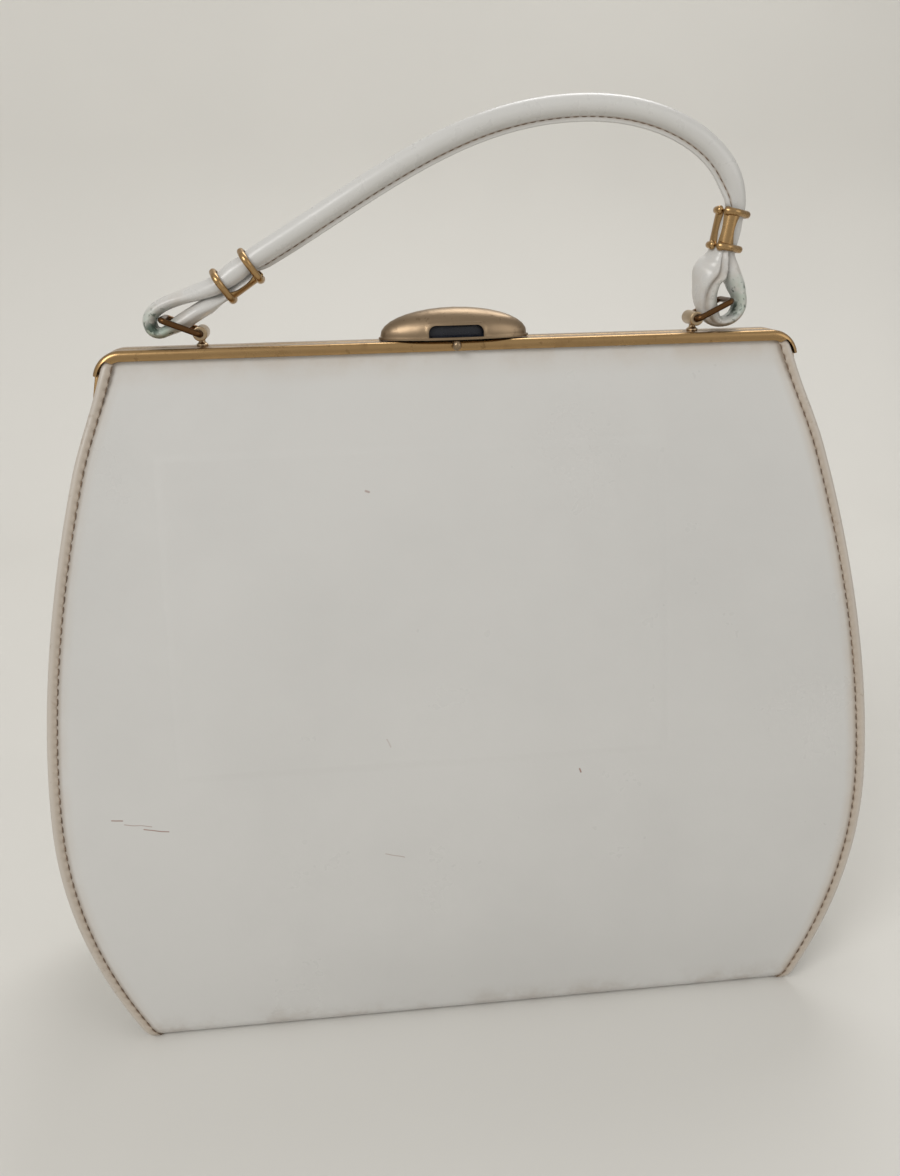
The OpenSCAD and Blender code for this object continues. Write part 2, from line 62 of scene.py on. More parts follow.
# Sizes of the part, in millimetres
BODY_W, WIDEST_Z, BASE_W, BASE_D, FOLD_R = 270.0, 80.0, 224.0, 76.0, 5.0
SHELL_T, BINDING_W = 1.6, 3.4
FRAME_Z, FRAME_W, FRAME_D, BAR_H, CORNER_R = 226.8, 221.0, 14.0, 3.2, 9.0
BAR_Z, CORNER_X, CORNER_Z = FRAME_Z - BAR_H, FRAME_W / 2 - CORNER_R, FRAME_Z - CORNER_R
HINGE_Z = FRAME_Z - 42.8
SEAM, WALL, SLOT_TOP, SLOT_IN = 0.15, 1.3, 1.9, 1.9
SLOT_OUT = FRAME_D / 2 - WALL
MOUTH_W, MOUTH_D = FRAME_W - 4, 2 * SLOT_OUT - 0.8
TUCK_R = CORNER_R - WALL - 0.7
TUCK_Z = CORNER_Z + TUCK_R
GUSSET_IN, GUSSET_T = 7.6, 1.2
LINING_IN, LINING_O, LINING_T, LINING_Z = 11.4, 2.0, 0.7, 3.4
LUG_X, LUG_Y, LUG_Z, LUG_LEN, LUG_R = 78.0, 3.0, FRAME_Z + 3.8, 9.0, 2.2
WIRE_D, RING_LEN, CORD_D = 1.9, 12.0, 6.4
RING_TURN = {"left": 22.0, "right": 26.0}


# ------------------------------------------------------------------ outlines


def ease(t):
    t = np.clip(t, 0.0, 1.0)
    return t * t * (3 - 2 * t)


def half_w(z):
    """Half width of the bag over its bindings at height z."""
    z = np.asarray(z, float)
    low = BASE_W / 2 + (BODY_W - BASE_W) / 2 * (1 - (np.clip(WIDEST_Z - z, 0, None) / WIDEST_Z) ** 2)
    run = np.clip(z - WIDEST_Z, 0, None) / (BAR_Z - WIDEST_Z)
    high = MOUTH_W / 2 + (BODY_W - MOUTH_W) / 2 * (1 - run**1.85)
    return np.where(z < WIDEST_Z, low, high)


def half_d(z):
    """Half depth of the bag in the side view at height z."""
    z = np.clip(np.asarray(z, float), 0, BAR_Z)
    return MOUTH_D / 2 + (BASE_D - MOUTH_D) / 2 * (1 - (z / BAR_Z) ** 1.9)


FOLD_Y = float(half_d(FOLD_R)) - FOLD_R


def top_inset(z):
    """How far the edges draw in under the frame's corners."""
    return 1.5 * ease((np.asarray(z, float) - 190) / 28)


def panel_half(z):
    """Half width of the folded sheet, whose edges end inside the bindings."""
    z = np.asarray(z, float)
    tuck = CORNER_X + np.sqrt(np.clip(TUCK_R**2 - np.clip(z - CORNER_Z, 0, TUCK_R) ** 2, 0, None))
    return np.minimum(half_w(z) - BINDING_W - top_inset(z) + 1.0, np.where(z > CORNER_Z, tuck, 999.0))


# ------------------------------------------------------------------ skins


class Skin:
    """Closed skins gathered into one mesh, in millimetres, with values kept on their points."""

    def __init__(self):
        self.points, self.faces, self.values = [], [], {}

    def add(self, points, faces, **values):
        start = len(self.points)
        points = np.asarray(points, float).reshape(-1, 3)
        self.points.extend(points.tolist())
        self.faces.extend(tuple(i + start for i in f) for f in faces)
        for key in set(self.values) | set(values):
            row = self.values.setdefault(key, [0.0] * start)
            new = values.get(key)
            row.extend([0.0] * len(points) if new is None else np.asarray(new, float).ravel().tolist())
        return self

    def build(self, name, material, slot, sharp=None):
        mesh = bpy.data.meshes.new(name)
        mesh.from_pydata([tuple(c * MM for c in p) for p in self.points], [], self.faces)
        for key, row in self.values.items():
            mesh.attributes.new(key, "FLOAT", "POINT").data.foreach_set("value", row)
        bm = bmesh.new()
        bm.from_mesh(mesh)
        bmesh.ops.remove_doubles(bm, verts=bm.verts, dist=2e-7)
        bmesh.ops.recalc_face_normals(bm, faces=bm.faces)
        bm.to_mesh(mesh)
        bm.free()
        return finish_piece(name, mesh, material, sharp)


def finish_piece(name, mesh, material, sharp=None):
    """Shades a mesh, gives it its material and puts it in the scene."""
    mesh.shade_smooth()
    if sharp is not None:
        mesh.set_sharp_from_angle(angle=math.radians(sharp))
    mesh.materials.clear()
    mesh.materials.append(material)
    mesh.update()
    obj = bpy.data.objects.new(name, mesh)
    bpy.context.scene.collection.objects.link(obj)
    return obj


def tube(rings, loop=False):
    """Points and faces of a skin through rings of points, capped unless it closes on itself."""
    rings = np.asarray(rings, float)
    m, n = rings.shape[:2]
    faces = []
    for i in range(m if loop else m - 1):
        j = (i + 1) % m
        for k in range(n):
            q = (k + 1) % n
            faces.append((i * n + k, i * n + q, j * n + q, j * n + k))
    if not loop:
        faces += [tuple(range(n - 1, -1, -1)), tuple(range((m - 1) * n, m * n))]
    return rings.reshape(-1, 3), faces


def sheet(outer, thick):
    """Points and faces of a sheet with the given outer grid and thickness."""
    outer = np.asarray(outer, float)
    m, n = outer.shape[:2]
    across = np.gradient(outer, axis=1)
    along = np.gradient(outer, axis=0)
    normal = np.cross(across, along)
    normal /= np.maximum(np.linalg.norm(normal, axis=2, keepdims=True), 1e-9)
    inner = outer - normal * thick
    points = np.concatenate([outer.reshape(-1, 3), inner.reshape(-1, 3)])
    half = m * n
    faces = []
    for i in range(m - 1):
        for k in range(n - 1):
            a, b, c, d = i * n + k, i * n + k + 1, (i + 1) * n + k + 1, (i + 1) * n + k
            faces += [(a, b, c, d), (d + half, c + half, b + half, a + half)]
    rim = (
        [i * n for i in range(m)]
        + [(m - 1) * n + k for k in range(1, n)]
        + [i * n + n - 1 for i in range(m - 2, -1, -1)]
        + list(range(n - 2, 0, -1))
    )
    faces += [(p, q, q + half, p + half) for p, q in zip(rim, rim[1:] + rim[:1])]
    return points, faces


def rounded(points, radius, steps=3):
    """A polygon with its corners cut round; radius is one number or one for each corner."""
    points = np.asarray(points, float)
    count = len(points)
    radii = np.broadcast_to(radius, (count,))
    out = []
    for i in range(count):
        p, a, b = points[i], points[i - 1] - points[i], points[(i + 1) % count] - points[i]
        la, lb = np.linalg.norm(a), np.linalg.norm(b)
        a, b = a / la, b / lb
        half = math.acos(np.clip(a @ b, -1, 1)) / 2
        cut = min(radii[i] / math.tan(half), 0.48 * la, 0.48 * lb) if half < 1.55 else 0
        if cut < 1e-4:
            out.append(p)
            continue
        r = cut * math.tan(half)
        mid = (a + b) / np.linalg.norm(a + b)
        centre = p + mid * r / math.sin(half)
        u, v = p + a * cut - centre, p + b * cut - centre
        span = math.acos(np.clip(u @ v / r**2, -1, 1))
        for k in range(steps + 1):
            t = k / steps
            out.append(centre + (math.sin((1 - t) * span) * u + math.sin(t * span) * v) / math.sin(span))
    return np.array(out)


def flat_sweep(path, sections, place, loop=False):
    """Rings of a section drawn along a flat path; a section point is (to the path's left, off its plane)."""
    path = np.asarray(path, float)
    if loop:
        way = np.roll(path, -1, axis=0) - np.roll(path, 1, axis=0)
    else:
        way = np.gradient(path, axis=0)
    way /= np.linalg.norm(way, axis=1, keepdims=True)
    left = np.stack([-way[:, 1], way[:, 0]], axis=1)
    sections = np.broadcast_to(sections, (len(path),) + np.shape(sections)[-2:])
    flat = path[:, None, :] + left[:, None, :] * sections[:, :, :1]
    return place(flat[..., 0], flat[..., 1], sections[..., 1])


def circle(radius, count, start=0.0):
    a = np.linspace(0, 2 * np.pi, count, endpoint=False) + start
    return np.stack([radius * np.cos(a), radius * np.sin(a)], axis=1)


def turned(profile, place, count=32):
    """Skin of a profile (radius, height) turned about an axis; place maps (a, b, height) to the bag."""
    radius, height = np.asarray(profile, float).T
    rings = []
    for a in np.linspace(0, 2 * np.pi, count, endpoint=False):
        rings.append(np.stack(place(radius * math.cos(a), radius * math.sin(a), height), axis=-1))
    return tube(rings, loop=True)


def soft_box(low, high, radius, move=None):
    """Skin of a box with rounded edges."""
    low, high = np.asarray(low, float), np.asarray(high, float)
    corners = [(low[1], low[2]), (high[1], low[2]), (high[1], high[2]), (low[1], high[2])]
    full = rounded(corners, radius, 3)
    centre = (low[1:] + high[1:]) / 2
    small = centre + (full - centre) * (1 - radius / ((high[1:] - low[1:]) / 2) * 0.75)
    rings = []
    for x, section in ((low[0], small), (low[0] + radius * 0.3, centre + (full - centre) * 0.97),
                       (low[0] + radius, full), (high[0] - radius, full),
                       (high[0] - radius * 0.3, centre + (full - centre) * 0.97), (high[0], small)):
        rings.append(np.column_stack([np.full(len(section), x), section]))
    points, faces = tube(rings)
    return (points if move is None else move(points)), faces


def node_copy(skin_name, node, material, sharp=40, bevel=0.0):
    """A merged copy of a solid's mesh with softened edges, which stands for the solid."""
    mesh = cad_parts[node].data.copy()
    mesh.name = skin_name
    bm = bmesh.new()
    bm.from_mesh(mesh)
    bmesh.ops.remove_doubles(bm, verts=bm.verts, dist=2e-6)
    if bevel:
        bmesh.ops.dissolve_limit(bm, angle_limit=math.radians(0.6), verts=bm.verts, edges=bm.edges)
        edges = [e for e in bm.edges if len(e.link_faces) == 2 and e.calc_face_angle() > math.radians(sharp)]
        bmesh.ops.bevel(bm, geom=edges, offset=bevel * MM, offset_type="OFFSET", segments=2, profile=0.6,
                        affect="EDGES", clamp_overlap=True)
    bm.to_mesh(mesh)
    bm.free()
    obj = finish_piece(skin_name, mesh, material, sharp)
    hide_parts(node)
    return obj


# ------------------------------------------------------------------ finishes


def srgb(r, g, b):
    """A colour seen on a screen, 0 to 255, as linear light."""
    lin = [c / 255 for c in (r, g, b)]
    return tuple(c / 12.92 if c <= 0.04045 else ((c + 0.055) / 1.055) ** 2.4 for c in lin)


def put(tree, socket, value):
    """Links a socket to another one, or sets its value."""
    if isinstance(value, bpy.types.NodeSocket):
        tree.links.new(value, socket)
    elif socket.type == "RGBA" and len(value) == 3:
        socket.default_value = (*value, 1.0)
    else:
        socket.default_value = value


def add_node(tree, kind, inputs=None, **settings):
    made = tree.nodes.new(kind)
    for key, value in settings.items():
        setattr(made, key, value)
    for key, value in (inputs or {}).items():
        put(tree, made.inputs[key], value)
    return made


class Finish:
    """A material and short calls for the nodes that it needs."""

    def __init__(self, name):
        self.material = bpy.data.materials.new(name)
        self.material.use_nodes = True
        self.tree = self.material.node_tree
        self.shader = next(n for n in self.tree.nodes if n.type == "BSDF_PRINCIPLED")
        self.at = self.node("ShaderNodeTexCoord").outputs["Object"]

    def node(self, kind, inputs=None, **settings):
        return add_node(self.tree, kind, inputs, **settings)

    def set(self, **values):
        for key, value in values.items():
            put(self.tree, self.shader.inputs[key.replace("_", " ")], value)

    def math(self, what, a, b=0.0, clamp=False):
        return self.node("ShaderNodeMath", {0: a, 1: b}, operation=what, use_clamp=clamp).outputs[0]

    def vector(self, what, a, b=(0, 0, 0)):
        made = self.node("ShaderNodeVectorMath", {0: a, 1: b}, operation=what)
        return made.outputs["Value" if what in ("LENGTH", "DISTANCE") else "Vector"]

    def noise(self, scale, detail=3.0, roughness=0.55, at=None):
        inputs = {"Vector": at or self.at, "Scale": scale, "Detail": detail, "Roughness": roughness}
        return self.node("ShaderNodeTexNoise", inputs).outputs["Fac"]

    def span(self, value, low, high, to_low=0.0, to_high=1.0):
        inputs = {"Value": value, "From Min": low, "From Max": high, "To Min": to_low, "To Max": to_high}
        return self.node("ShaderNodeMapRange", inputs, interpolation_type="SMOOTHSTEP").outputs["Result"]

    def mix(self, share, a, b):
        made = self.node("ShaderNodeMix", {0: share, 6: a, 7: b}, data_type="RGBA")
        return made.outputs[2]

    def kept(self, name):
        return self.node("ShaderNodeAttribute", attribute_name=name).outputs["Fac"]

    def split(self, at=None):
        return self.node("ShaderNodeSeparateXYZ", {0: at or self.at}).outputs

    def bump(self, height, depth_mm, under=None):
        inputs = {"Height": height, "Distance": depth_mm * MM, "Strength": 1.0}
        if under is not None:
            inputs["Normal"] = under
        return self.node("ShaderNodeBump", inputs).outputs["Normal"]

    def near(self, x, z, reach, core=0.0):
        """1 at a line across the bag through (x, z), falling to 0 at its reach, in millimetres."""
        flat = self.vector("MULTIPLY", self.at, (1, 0, 1))
        away = self.vector("DISTANCE", flat, (x * MM, 0, z * MM))
        return self.span(away, core * MM, reach * MM, 1.0, 0.0)

    def streak(self, start, end, width, wander):
        """A thin mark on the front from start to end, each (x, z) in millimetres."""
        mid = [(a + b) / 2 for a, b in zip(start, end)]
        run = math.hypot(end[0] - start[0], end[1] - start[1])
        lean = math.atan2(end[1] - start[1], end[0] - start[0])
        moved = self.vector("SUBTRACT", self.at, (mid[0] * MM, 0, mid[1] * MM))
        flat = self.vector("MULTIPLY", moved, (1, 0, 1))
        turn = self.node("ShaderNodeVectorRotate", {"Vector": flat, "Angle": lean}, rotation_type="Y_AXIS")
        bent = self.vector("ADD", turn.outputs[0], self.node("ShaderNodeCombineXYZ", {2: wander}).outputs[0])
        over = self.vector("SUBTRACT", self.vector("ABSOLUTE", bent), (run / 2 * MM, 0, 0))
        away = self.vector("LENGTH", self.vector("MAXIMUM", over, (0, 0, 0)))
        return self.span(away, width * 0.25 * MM, width * MM, 1.0, 0.0)


FINISHES = {}


def finish(name, maker, *args):
    """The named material, made on first use."""
    if name not in FINISHES:
        FINISHES[name] = maker(name, *args)
    return FINISHES[name]


def colours():
    return bpy.context.scene.handbag_colours


def sizes():
    return bpy.context.scene.handbag_sizes


def shade(rgb, k):
    return tuple(c * k for c in rgb)


def white_vinyl(name, front):
    """Smooth glossy vinyl, grubby along the sewn edges, with the marks of use on the front and painted shade
    under the frame's bar.
    """
    f, c = Finish(name), colours()
    clouds = f.noise(7.0, 4.0, 0.6)
    grub = f.noise(60.0, 4.0, 0.65)
    base = f.mix(f.span(clouds, 0.35, 0.7), c.vinyl, shade(c.vinyl, 0.93))
    edge = f.kept("edge")
    x, _, z = f.split()
    side = f.span(x, -0.12, 0.13, 0.55, 1.0)
    rub = f.math("MULTIPLY", f.span(edge, 0.4, 4.5, 1.0, 0.0), f.span(grub, 0.3, 0.62, 0.35, 1.0))
    base = f.mix(f.math("MULTIPLY", rub, f.math("MULTIPLY", side, 0.6)), base, c.edge_vinyl)
    base = f.mix(f.math("MULTIPLY", f.span(edge, 0.0, 1.6, 1.0, 0.0), 0.55), base, c.grime)
    # Painted shade: a beige band, blotched by noise, that darkens the vinyl towards the frame's bar above it
    under = f.math("MULTIPLY", f.span(z, 0.214, 0.2232), f.span(grub, 0.35, 0.7, 0.2, 0.6))
    base = f.mix(under, base, c.edge_vinyl)
    low = f.math("MULTIPLY", f.span(z, 0.0, 0.012, 0.5, 0.0), f.span(grub, 0.4, 0.7))
    base = f.mix(low, base, c.grime)
    if front:
        wander = f.math("MULTIPLY", f.math("SUBTRACT", f.noise(90.0, 2.0), 0.5), 1.6 * MM)
        streaks = (
            ((-116.2, 83.4), (-112.9, 82.9), 0.32, 0.75), ((-112.4, 81.6), (-104.0, 80.2), 0.2, 0.6),
            ((-106.5, 79.4), (-98.8, 78.2), 0.28, 0.8), ((-29.8, 65.0), (-23.6, 63.3), 0.22, 0.5),
            ((-30.2, 183.0), (-29.3, 182.6), 0.55, 0.55), ((35.3, 90.0), (35.7, 88.9), 0.42, 0.85),
            ((-27.4, 104.6), (-26.4, 102.0), 0.35, 0.28),
        )
        for start, end, width, share in streaks:
            mark = f.math("MULTIPLY", f.streak(start, end, width, wander), share)
            base = f.mix(mark, base, c.scuff)
    smears = f.noise(22.0, 5.0, 0.7)
    f.set(Base_Color=base, Roughness=f.span(smears, 0.3, 0.75, 0.26, 0.42), Specular_IOR_Level=0.5,
          Coat_Weight=0.12, Coat_Roughness=0.12)
    peel = f.noise(900.0, 2.0)
    board_x = f.math("MULTIPLY", f.span(x, -0.0945, -0.0915), f.span(x, 0.0625, 0.0655, 1.0, 0.0))
    board_z = f.math("MULTIPLY", f.span(z, 0.094, 0.097), f.span(z, 0.1935, 0.1965, 1.0, 0.0))
    board = f.math("MULTIPLY", board_x, board_z)
    normal = f.bump(peel, 0.02)
    normal = f.bump(f.noise(55.0, 2.0), 0.1, normal)
    f.set(Normal=f.bump(board, 0.12, normal))
    return f.material


def edge_vinyl(name):
    """Yellowed vinyl of the rolled edges, dirty in the sewn groove."""
    f, c = Finish(name), colours()
    grub = f.noise(120.0, 4.0, 0.65)
    across = f.kept("across")
    base = f.mix(f.span(f.noise(14.0, 3.0), 0.35, 0.68), c.edge_vinyl, shade(c.edge_vinyl, 0.9))
    base = f.mix(f.math("MULTIPLY", f.span(across, 0.3, 0.8), 0.3), base, c.vinyl)
    dirt = f.math("MULTIPLY", f.span(across, 0.02, 0.28, 1.0, 0.0), f.span(grub, 0.32, 0.66, 0.35, 0.9))
    base = f.mix(dirt, base, c.grime)
    worn = f.math("MULTIPLY", f.span(f.noise(260.0, 3.0, 0.7), 0.6, 0.72), 0.35)
    base = f.mix(worn, base, c.grime)
    f.set(Base_Color=base, Roughness=f.span(grub, 0.3, 0.7, 0.32, 0.5), Coat_Weight=0.08, Coat_Roughness=0.2)
    f.set(Normal=f.bump(grub, 0.08, f.bump(f.noise(1100.0, 2.0), 0.02)))
    return f.material


def handle_vinyl(name):
    """Vinyl of the handle, with green corrosion from the rings on its looped ends."""
    f, c = Finish(name), colours()
    grub = f.noise(140.0, 4.0, 0.65)
    base = f.mix(f.span(f.noise(16.0, 3.0), 0.35, 0.7), c.vinyl, shade(c.vinyl, 0.94))
    seam = f.math("MULTIPLY", f.kept("groove"), f.span(grub, 0.3, 0.65, 0.45, 0.95))
    base = f.mix(seam, base, c.grime)
    ends = f.math("MAXIMUM", f.near(-88.0, 234.0, 17.0, 4.0), f.near(88.5, 237.0, 19.0, 4.0))
    base = f.mix(f.math("MULTIPLY", ends, f.span(grub, 0.38, 0.62, 0.0, 0.4)), base, c.edge_vinyl)
    right_spots = f.math("MULTIPLY", f.near(91.5, 236.0, 11.0, 2.2), 0.7)
    spots = f.math("MAXIMUM", f.near(-91.0, 231.5, 9.0, 2.0), right_spots)
    blotch = f.noise(210.0, 3.0, 0.6)
    stain = f.math("MULTIPLY", spots, f.span(blotch, 0.34, 0.56))
    base = f.mix(f.math("MULTIPLY", stain, 0.55), base, c.verdigris)
    specks = f.math("MULTIPLY", f.math("POWER", spots, 0.7), f.span(f.noise(620.0, 2.5, 0.6), 0.57, 0.62))
    core = f.math("MAXIMUM", f.near(-92.2, 232.4, 3.6, 0.6), f.near(90.6, 233.6, 3.4, 0.6))
    crust = f.math("MULTIPLY", core, f.span(f.noise(330.0, 3.0, 0.65), 0.47, 0.53))
    base = f.mix(f.math("MAXIMUM", specks, crust, True), base, shade(c.verdigris, 0.22))
    dull = f.math("ADD", f.span(grub, 0.3, 0.75, 0.24, 0.38), f.math("MULTIPLY", stain, 0.3))
    f.set(Base_Color=base, Roughness=dull, Coat_Weight=0.12, Coat_Roughness=0.12)
    normal = f.bump(f.noise(900.0, 2.0), 0.02)
    f.set(Normal=f.bump(f.math("ADD", crust, specks), 0.12, f.bump(grub, 0.06, normal)))
    return f.material


def aged_gold(name, tone, tarnish, rough):
    """Gold-coloured plating, rubbed and browned with age."""
    f, c = Finish(name), colours()
    plate = tuple(getattr(c, tone))
    bloom = f.noise(45.0, 4.0, 0.6)
    pits = f.noise(520.0, 3.0, 0.65)
    base = f.mix(f.span(bloom, 0.3, 0.72), plate, shade(plate, 0.84))
    patches = f.span(f.noise(95.0, 4.0, 0.6), 0.66 - 0.42 * tarnish, 0.86 - 0.3 * tarnish)
    brown = f.math("MULTIPLY", patches, 0.35 + 0.6 * tarnish)
    base = f.mix(brown, base, c.tarnish)
    dots = f.math("MULTIPLY", f.span(pits, 0.6, 0.7), 0.25 + 0.5 * tarnish)
    base = f.mix(dots, base, shade(c.tarnish, 0.6))
    dull = f.math("ADD", f.span(bloom, 0.3, 0.75, rough, rough + 0.12), f.math("MULTIPLY", brown, 0.16))
    f.set(Base_Color=base, Metallic=1.0, Roughness=f.math("ADD", dull, f.math("MULTIPLY", dots, 0.2)))
    drawn = f.noise(1.0, 3.0, 0.5, f.vector("MULTIPLY", f.at, (60, 900, 900)))
    f.set(Normal=f.bump(drawn, 0.01, f.bump(pits, 0.012)))
    return f.material


def sewing_thread(name):
    """Brown waxed thread."""
    f, c = Finish(name), colours()
    strands = f.noise(1500.0, 2.0)
    base = f.mix(f.span(f.noise(70.0, 3.0), 0.3, 0.7), c.thread, shade(c.thread, 1.7))
    f.set(Base_Color=f.mix(f.span(strands, 0.4, 0.65, 0.0, 0.5), base, shade(c.thread, 0.6)), Roughness=0.72)
    f.set(Normal=f.bump(strands, 0.08))
    return f.material


def lining_cloth(name):
    """Plain woven rayon with a soft sheen."""
    f, c = Finish(name), colours()
    x, y, z = f.split()
    run = f.math("ADD", x, f.math("MULTIPLY", y, 0.73))
    warp = f.math("SINE", f.math("MULTIPLY", run, 9000.0))
    weft = f.math("SINE", f.math("MULTIPLY", z, 8200.0))
    weave = f.math("MULTIPLY", warp, weft)
    slubs = f.noise(1.0, 3.0, 0.6, f.vector("MULTIPLY", f.at, (40, 40, 900)))
    base = f.mix(f.span(weave, -0.8, 0.8, 0.0, 0.4), c.lining, shade(c.lining, 0.7))
    base = f.mix(f.span(slubs, 0.5, 0.75, 0.0, 0.35), base, shade(c.lining, 1.1))
    base = f.mix(f.span(f.noise(11.0, 4.0), 0.45, 0.75, 0.0, 0.25), base, c.grime)
    f.set(Base_Color=base, Roughness=0.62, Sheen_Weight=0.25, Sheen_Roughness=0.4)
    f.set(Normal=f.bump(weave, 0.05, f.bump(f.noise(35.0, 3.0), 0.6)))
    return f.material


def dark_enamel(name):
    """Blue-black enamel of the plate in the clasp."""
    f, c = Finish(name), colours()
    dust = f.noise(300.0, 4.0, 0.7)
    f.set(Base_Color=f.mix(f.span(dust, 0.55, 0.8, 0.0, 0.3), c.enamel, shade(c.enamel, 3.0)),
          Roughness=f.span(dust, 0.35, 0.8, 0.2, 0.45), Normal=f.bump(dust, 0.02))
    return f.material


def grey_board(name):
    """Pressed board of the base."""
    f, c = Finish(name), colours()
    fibre = f.noise(400.0, 5.0, 0.7)
    f.set(Base_Color=f.mix(f.span(fibre, 0.3, 0.7), c.board, shade(c.board, 0.7)), Roughness=0.85,
          Normal=f.bump(fibre, 0.15))
    return f.material


# ------------------------------------------------------------------ sewing


def stitch_tree():
    """Node tree that lays thread along rows of edges."""
    tree = bpy.data.node_groups.new("Stitch row", "GeometryNodeTree")
    face = tree.interface
    face.new_socket("Row", in_out="INPUT", socket_type="NodeSocketGeometry")
    for name, kind in (("Pitch", "Float"), ("Length", "Float"), ("Thickness", "Float"), ("Wander", "Float"),
                       ("Seed", "Int"), ("Thread", "Material")):
        face.new_socket(name, in_out="INPUT", socket_type="NodeSocket" + kind)
    face.new_socket("Stitches", in_out="OUTPUT", socket_type="NodeSocketGeometry")

    def node(kind, inputs=None, **settings):
        return add_node(tree, kind, inputs, **settings)

    given = node("NodeGroupInput").outputs
    curve = node("GeometryNodeMeshToCurve", {"Mesh": given["Row"]}).outputs[0]
    spaced = node("GeometryNodeResampleCurve", {"Curve": curve, "Length": given["Pitch"]}, mode="LENGTH")
    ball = node("GeometryNodeMeshUVSphere", {"Segments": 8, "Rings": 6, "Radius": 0.5})
    size = node("ShaderNodeCombineXYZ", {0: given["Length"], 1: given["Thickness"], 2: given["Thickness"]})
    strand = node("GeometryNodeTransform", {"Geometry": ball.outputs["Mesh"], "Scale": size.outputs[0]})
    smooth = node("GeometryNodeSetShadeSmooth", {"Geometry": strand.outputs[0]})
    low, high = (node("ShaderNodeVectorMath", {0: (way, way, way), "Scale": given["Wander"]}, operation="SCALE")
                 for way in (-1, 1))
    lean = node("FunctionNodeRandomValue", {0: low.outputs[0], 1: high.outputs[0], "Seed": given["Seed"]},
                data_type="FLOAT_VECTOR")
    tangent = node("GeometryNodeInputTangent").outputs[0]
    along = node("ShaderNodeVectorMath", {0: tangent, 1: lean.outputs[0]}, operation="ADD")
    turn = node("FunctionNodeAlignRotationToVector", {"Vector": along.outputs[0]}, axis="X")
    spread = node("GeometryNodeInstanceOnPoints", {"Points": spaced.outputs[0], "Instance": smooth.outputs[0],
                                                   "Rotation": turn.outputs[0]})
    real = node("GeometryNodeRealizeInstances", {0: spread.outputs[0]})
    dressed = node("GeometryNodeSetMaterial", {"Geometry": real.outputs[0], "Material": given["Thread"]})
    node("NodeGroupOutput", {0: dressed.outputs[0]})
    return tree


def sew(name, rows, pitch, length, thick, wander=0.05, seed=3):
    """Stitches along rows of points in millimetres, as one plain mesh."""
    tree = bpy.data.node_groups.get("Stitch row") or stitch_tree()
    points, edges = [], []
    for row in rows:
        start = len(points)
        points += [tuple(c * MM for c in p) for p in row]
        edges += [(i, i + 1) for i in range(start, len(points) - 1)]
    mesh = bpy.data.meshes.new(name + "_row")
    mesh.from_pydata(points, edges, [])
    guide = bpy.data.objects.new(name + "_row", mesh)
    bpy.context.scene.collection.objects.link(guide)
    thread = finish("Brown thread", sewing_thread)
    given = {"Pitch": pitch * MM, "Length": length * MM, "Thickness": thick * MM, "Wander": wander,
             "Seed": seed, "Thread": thread}
    layer = guide.modifiers.new("Stitches", "NODES")
    layer.node_group = tree
    for item in tree.interface.items_tree:
        if item.item_type == "SOCKET" and item.in_out == "INPUT" and item.name in given:
            layer[item.identifier] = given[item.name]
    ready = guide.evaluated_get(bpy.context.evaluated_depsgraph_get())
    made = bpy.data.meshes.new_from_object(ready)
    bpy.data.objects.remove(guide)
    bpy.data.meshes.remove(mesh)
    if not made.polygons:
        raise RuntimeError(name + " has no stitches")
    made.name = name
    return finish_piece(name, made, thread)


# ------------------------------------------------------------------ body


def wrapper_half(side):
    """Grid of the sheet from the middle of the base up to the frame; side is -1 at the front."""
    base = [(y, 0.0) for y in np.linspace(0, FOLD_Y, 11)]
    fold = [(FOLD_Y + FOLD_R * math.sin(a), FOLD_R - FOLD_R * math.cos(a))
            for a in np.linspace(0, np.pi / 2, 11)[1:-1]]
    wall = [(float(half_d(z)), z) for z in np.linspace(FOLD_R, TUCK_Z, 104)]
    rows = np.array(base + fold + wall)
    u = np.sin(np.linspace(-np.pi / 2, np.pi / 2, 97))
    x = panel_half(rows[:, 1])[:, None] * u
    y = np.repeat(rows[:, :1], len(u), axis=1)
    z = np.repeat(rows[:, 1:], len(u), axis=1)
    t = np.clip((z - FOLD_R) / (BAR_Z - FOLD_R), 0, 1)
    crown = sizes().panel_crown / MM
    swell = crown * np.cos(u * np.pi / 2) ** 0.8 * (4 * t * (1 - t)) ** 0.8
    swell += 0.28 * np.sin(x / 31 + 0.7) * np.sin(z / 37 + side) * (4 * t * (1 - t)) * np.cos(u * np.pi / 2)
    sag = 0.5 * np.exp(-(((z - 26) / 16) ** 2)) * np.cos(u * np.pi / 2)
    return np.stack([x, side * (y + swell + sag), z], axis=2)


def panel_skin(side):
    grid = wrapper_half(side)
    if side > 0:
        grid = grid[:, ::-1]
    points, faces = sheet(grid, 1.4)
    edge = panel_half(grid[..., 2]) - np.abs(grid[..., 0]) - 1.0
    edge = np.clip(edge, 0, 60).ravel()
    return Skin().add(points, faces, edge=np.concatenate([edge, edge]))


def binding_path(fine=0.5):
    """Rows of the rolled edge: depth, height and lean of the surface that carries it."""
    rows = []
    for a in np.radians(np.linspace(-62, -4, 18)):
        rows.append((FOLD_Y + FOLD_R * math.cos(a), FOLD_R + FOLD_R * math.sin(a), a))
    for z in np.arange(FOLD_R, 224.1, fine):
        rows.append((float(half_d(z)), z, math.atan(float(half_d(z - 0.5) - half_d(z + 0.5)))))
    return np.array(rows)


def binding_point(rows, s, h):
    """Points s from the roll's inner edge and h over the panel, at the back right, tucked in at the top."""
    h = h + 0.85 * ease((rows[:, 1] - 208) / 12) * (1 - ease((rows[:, 1] - 221.6) / 2.4))
    y = rows[:, 0] + h * np.cos(rows[:, 2])
    z = rows[:, 1] + h * np.sin(rows[:, 2])
    x = half_w(np.clip(z, 0, BAR_Z)) - BINDING_W - top_inset(z) + s
    return np.stack([x, y, z], axis=-1)


SEWN_FROM = 6


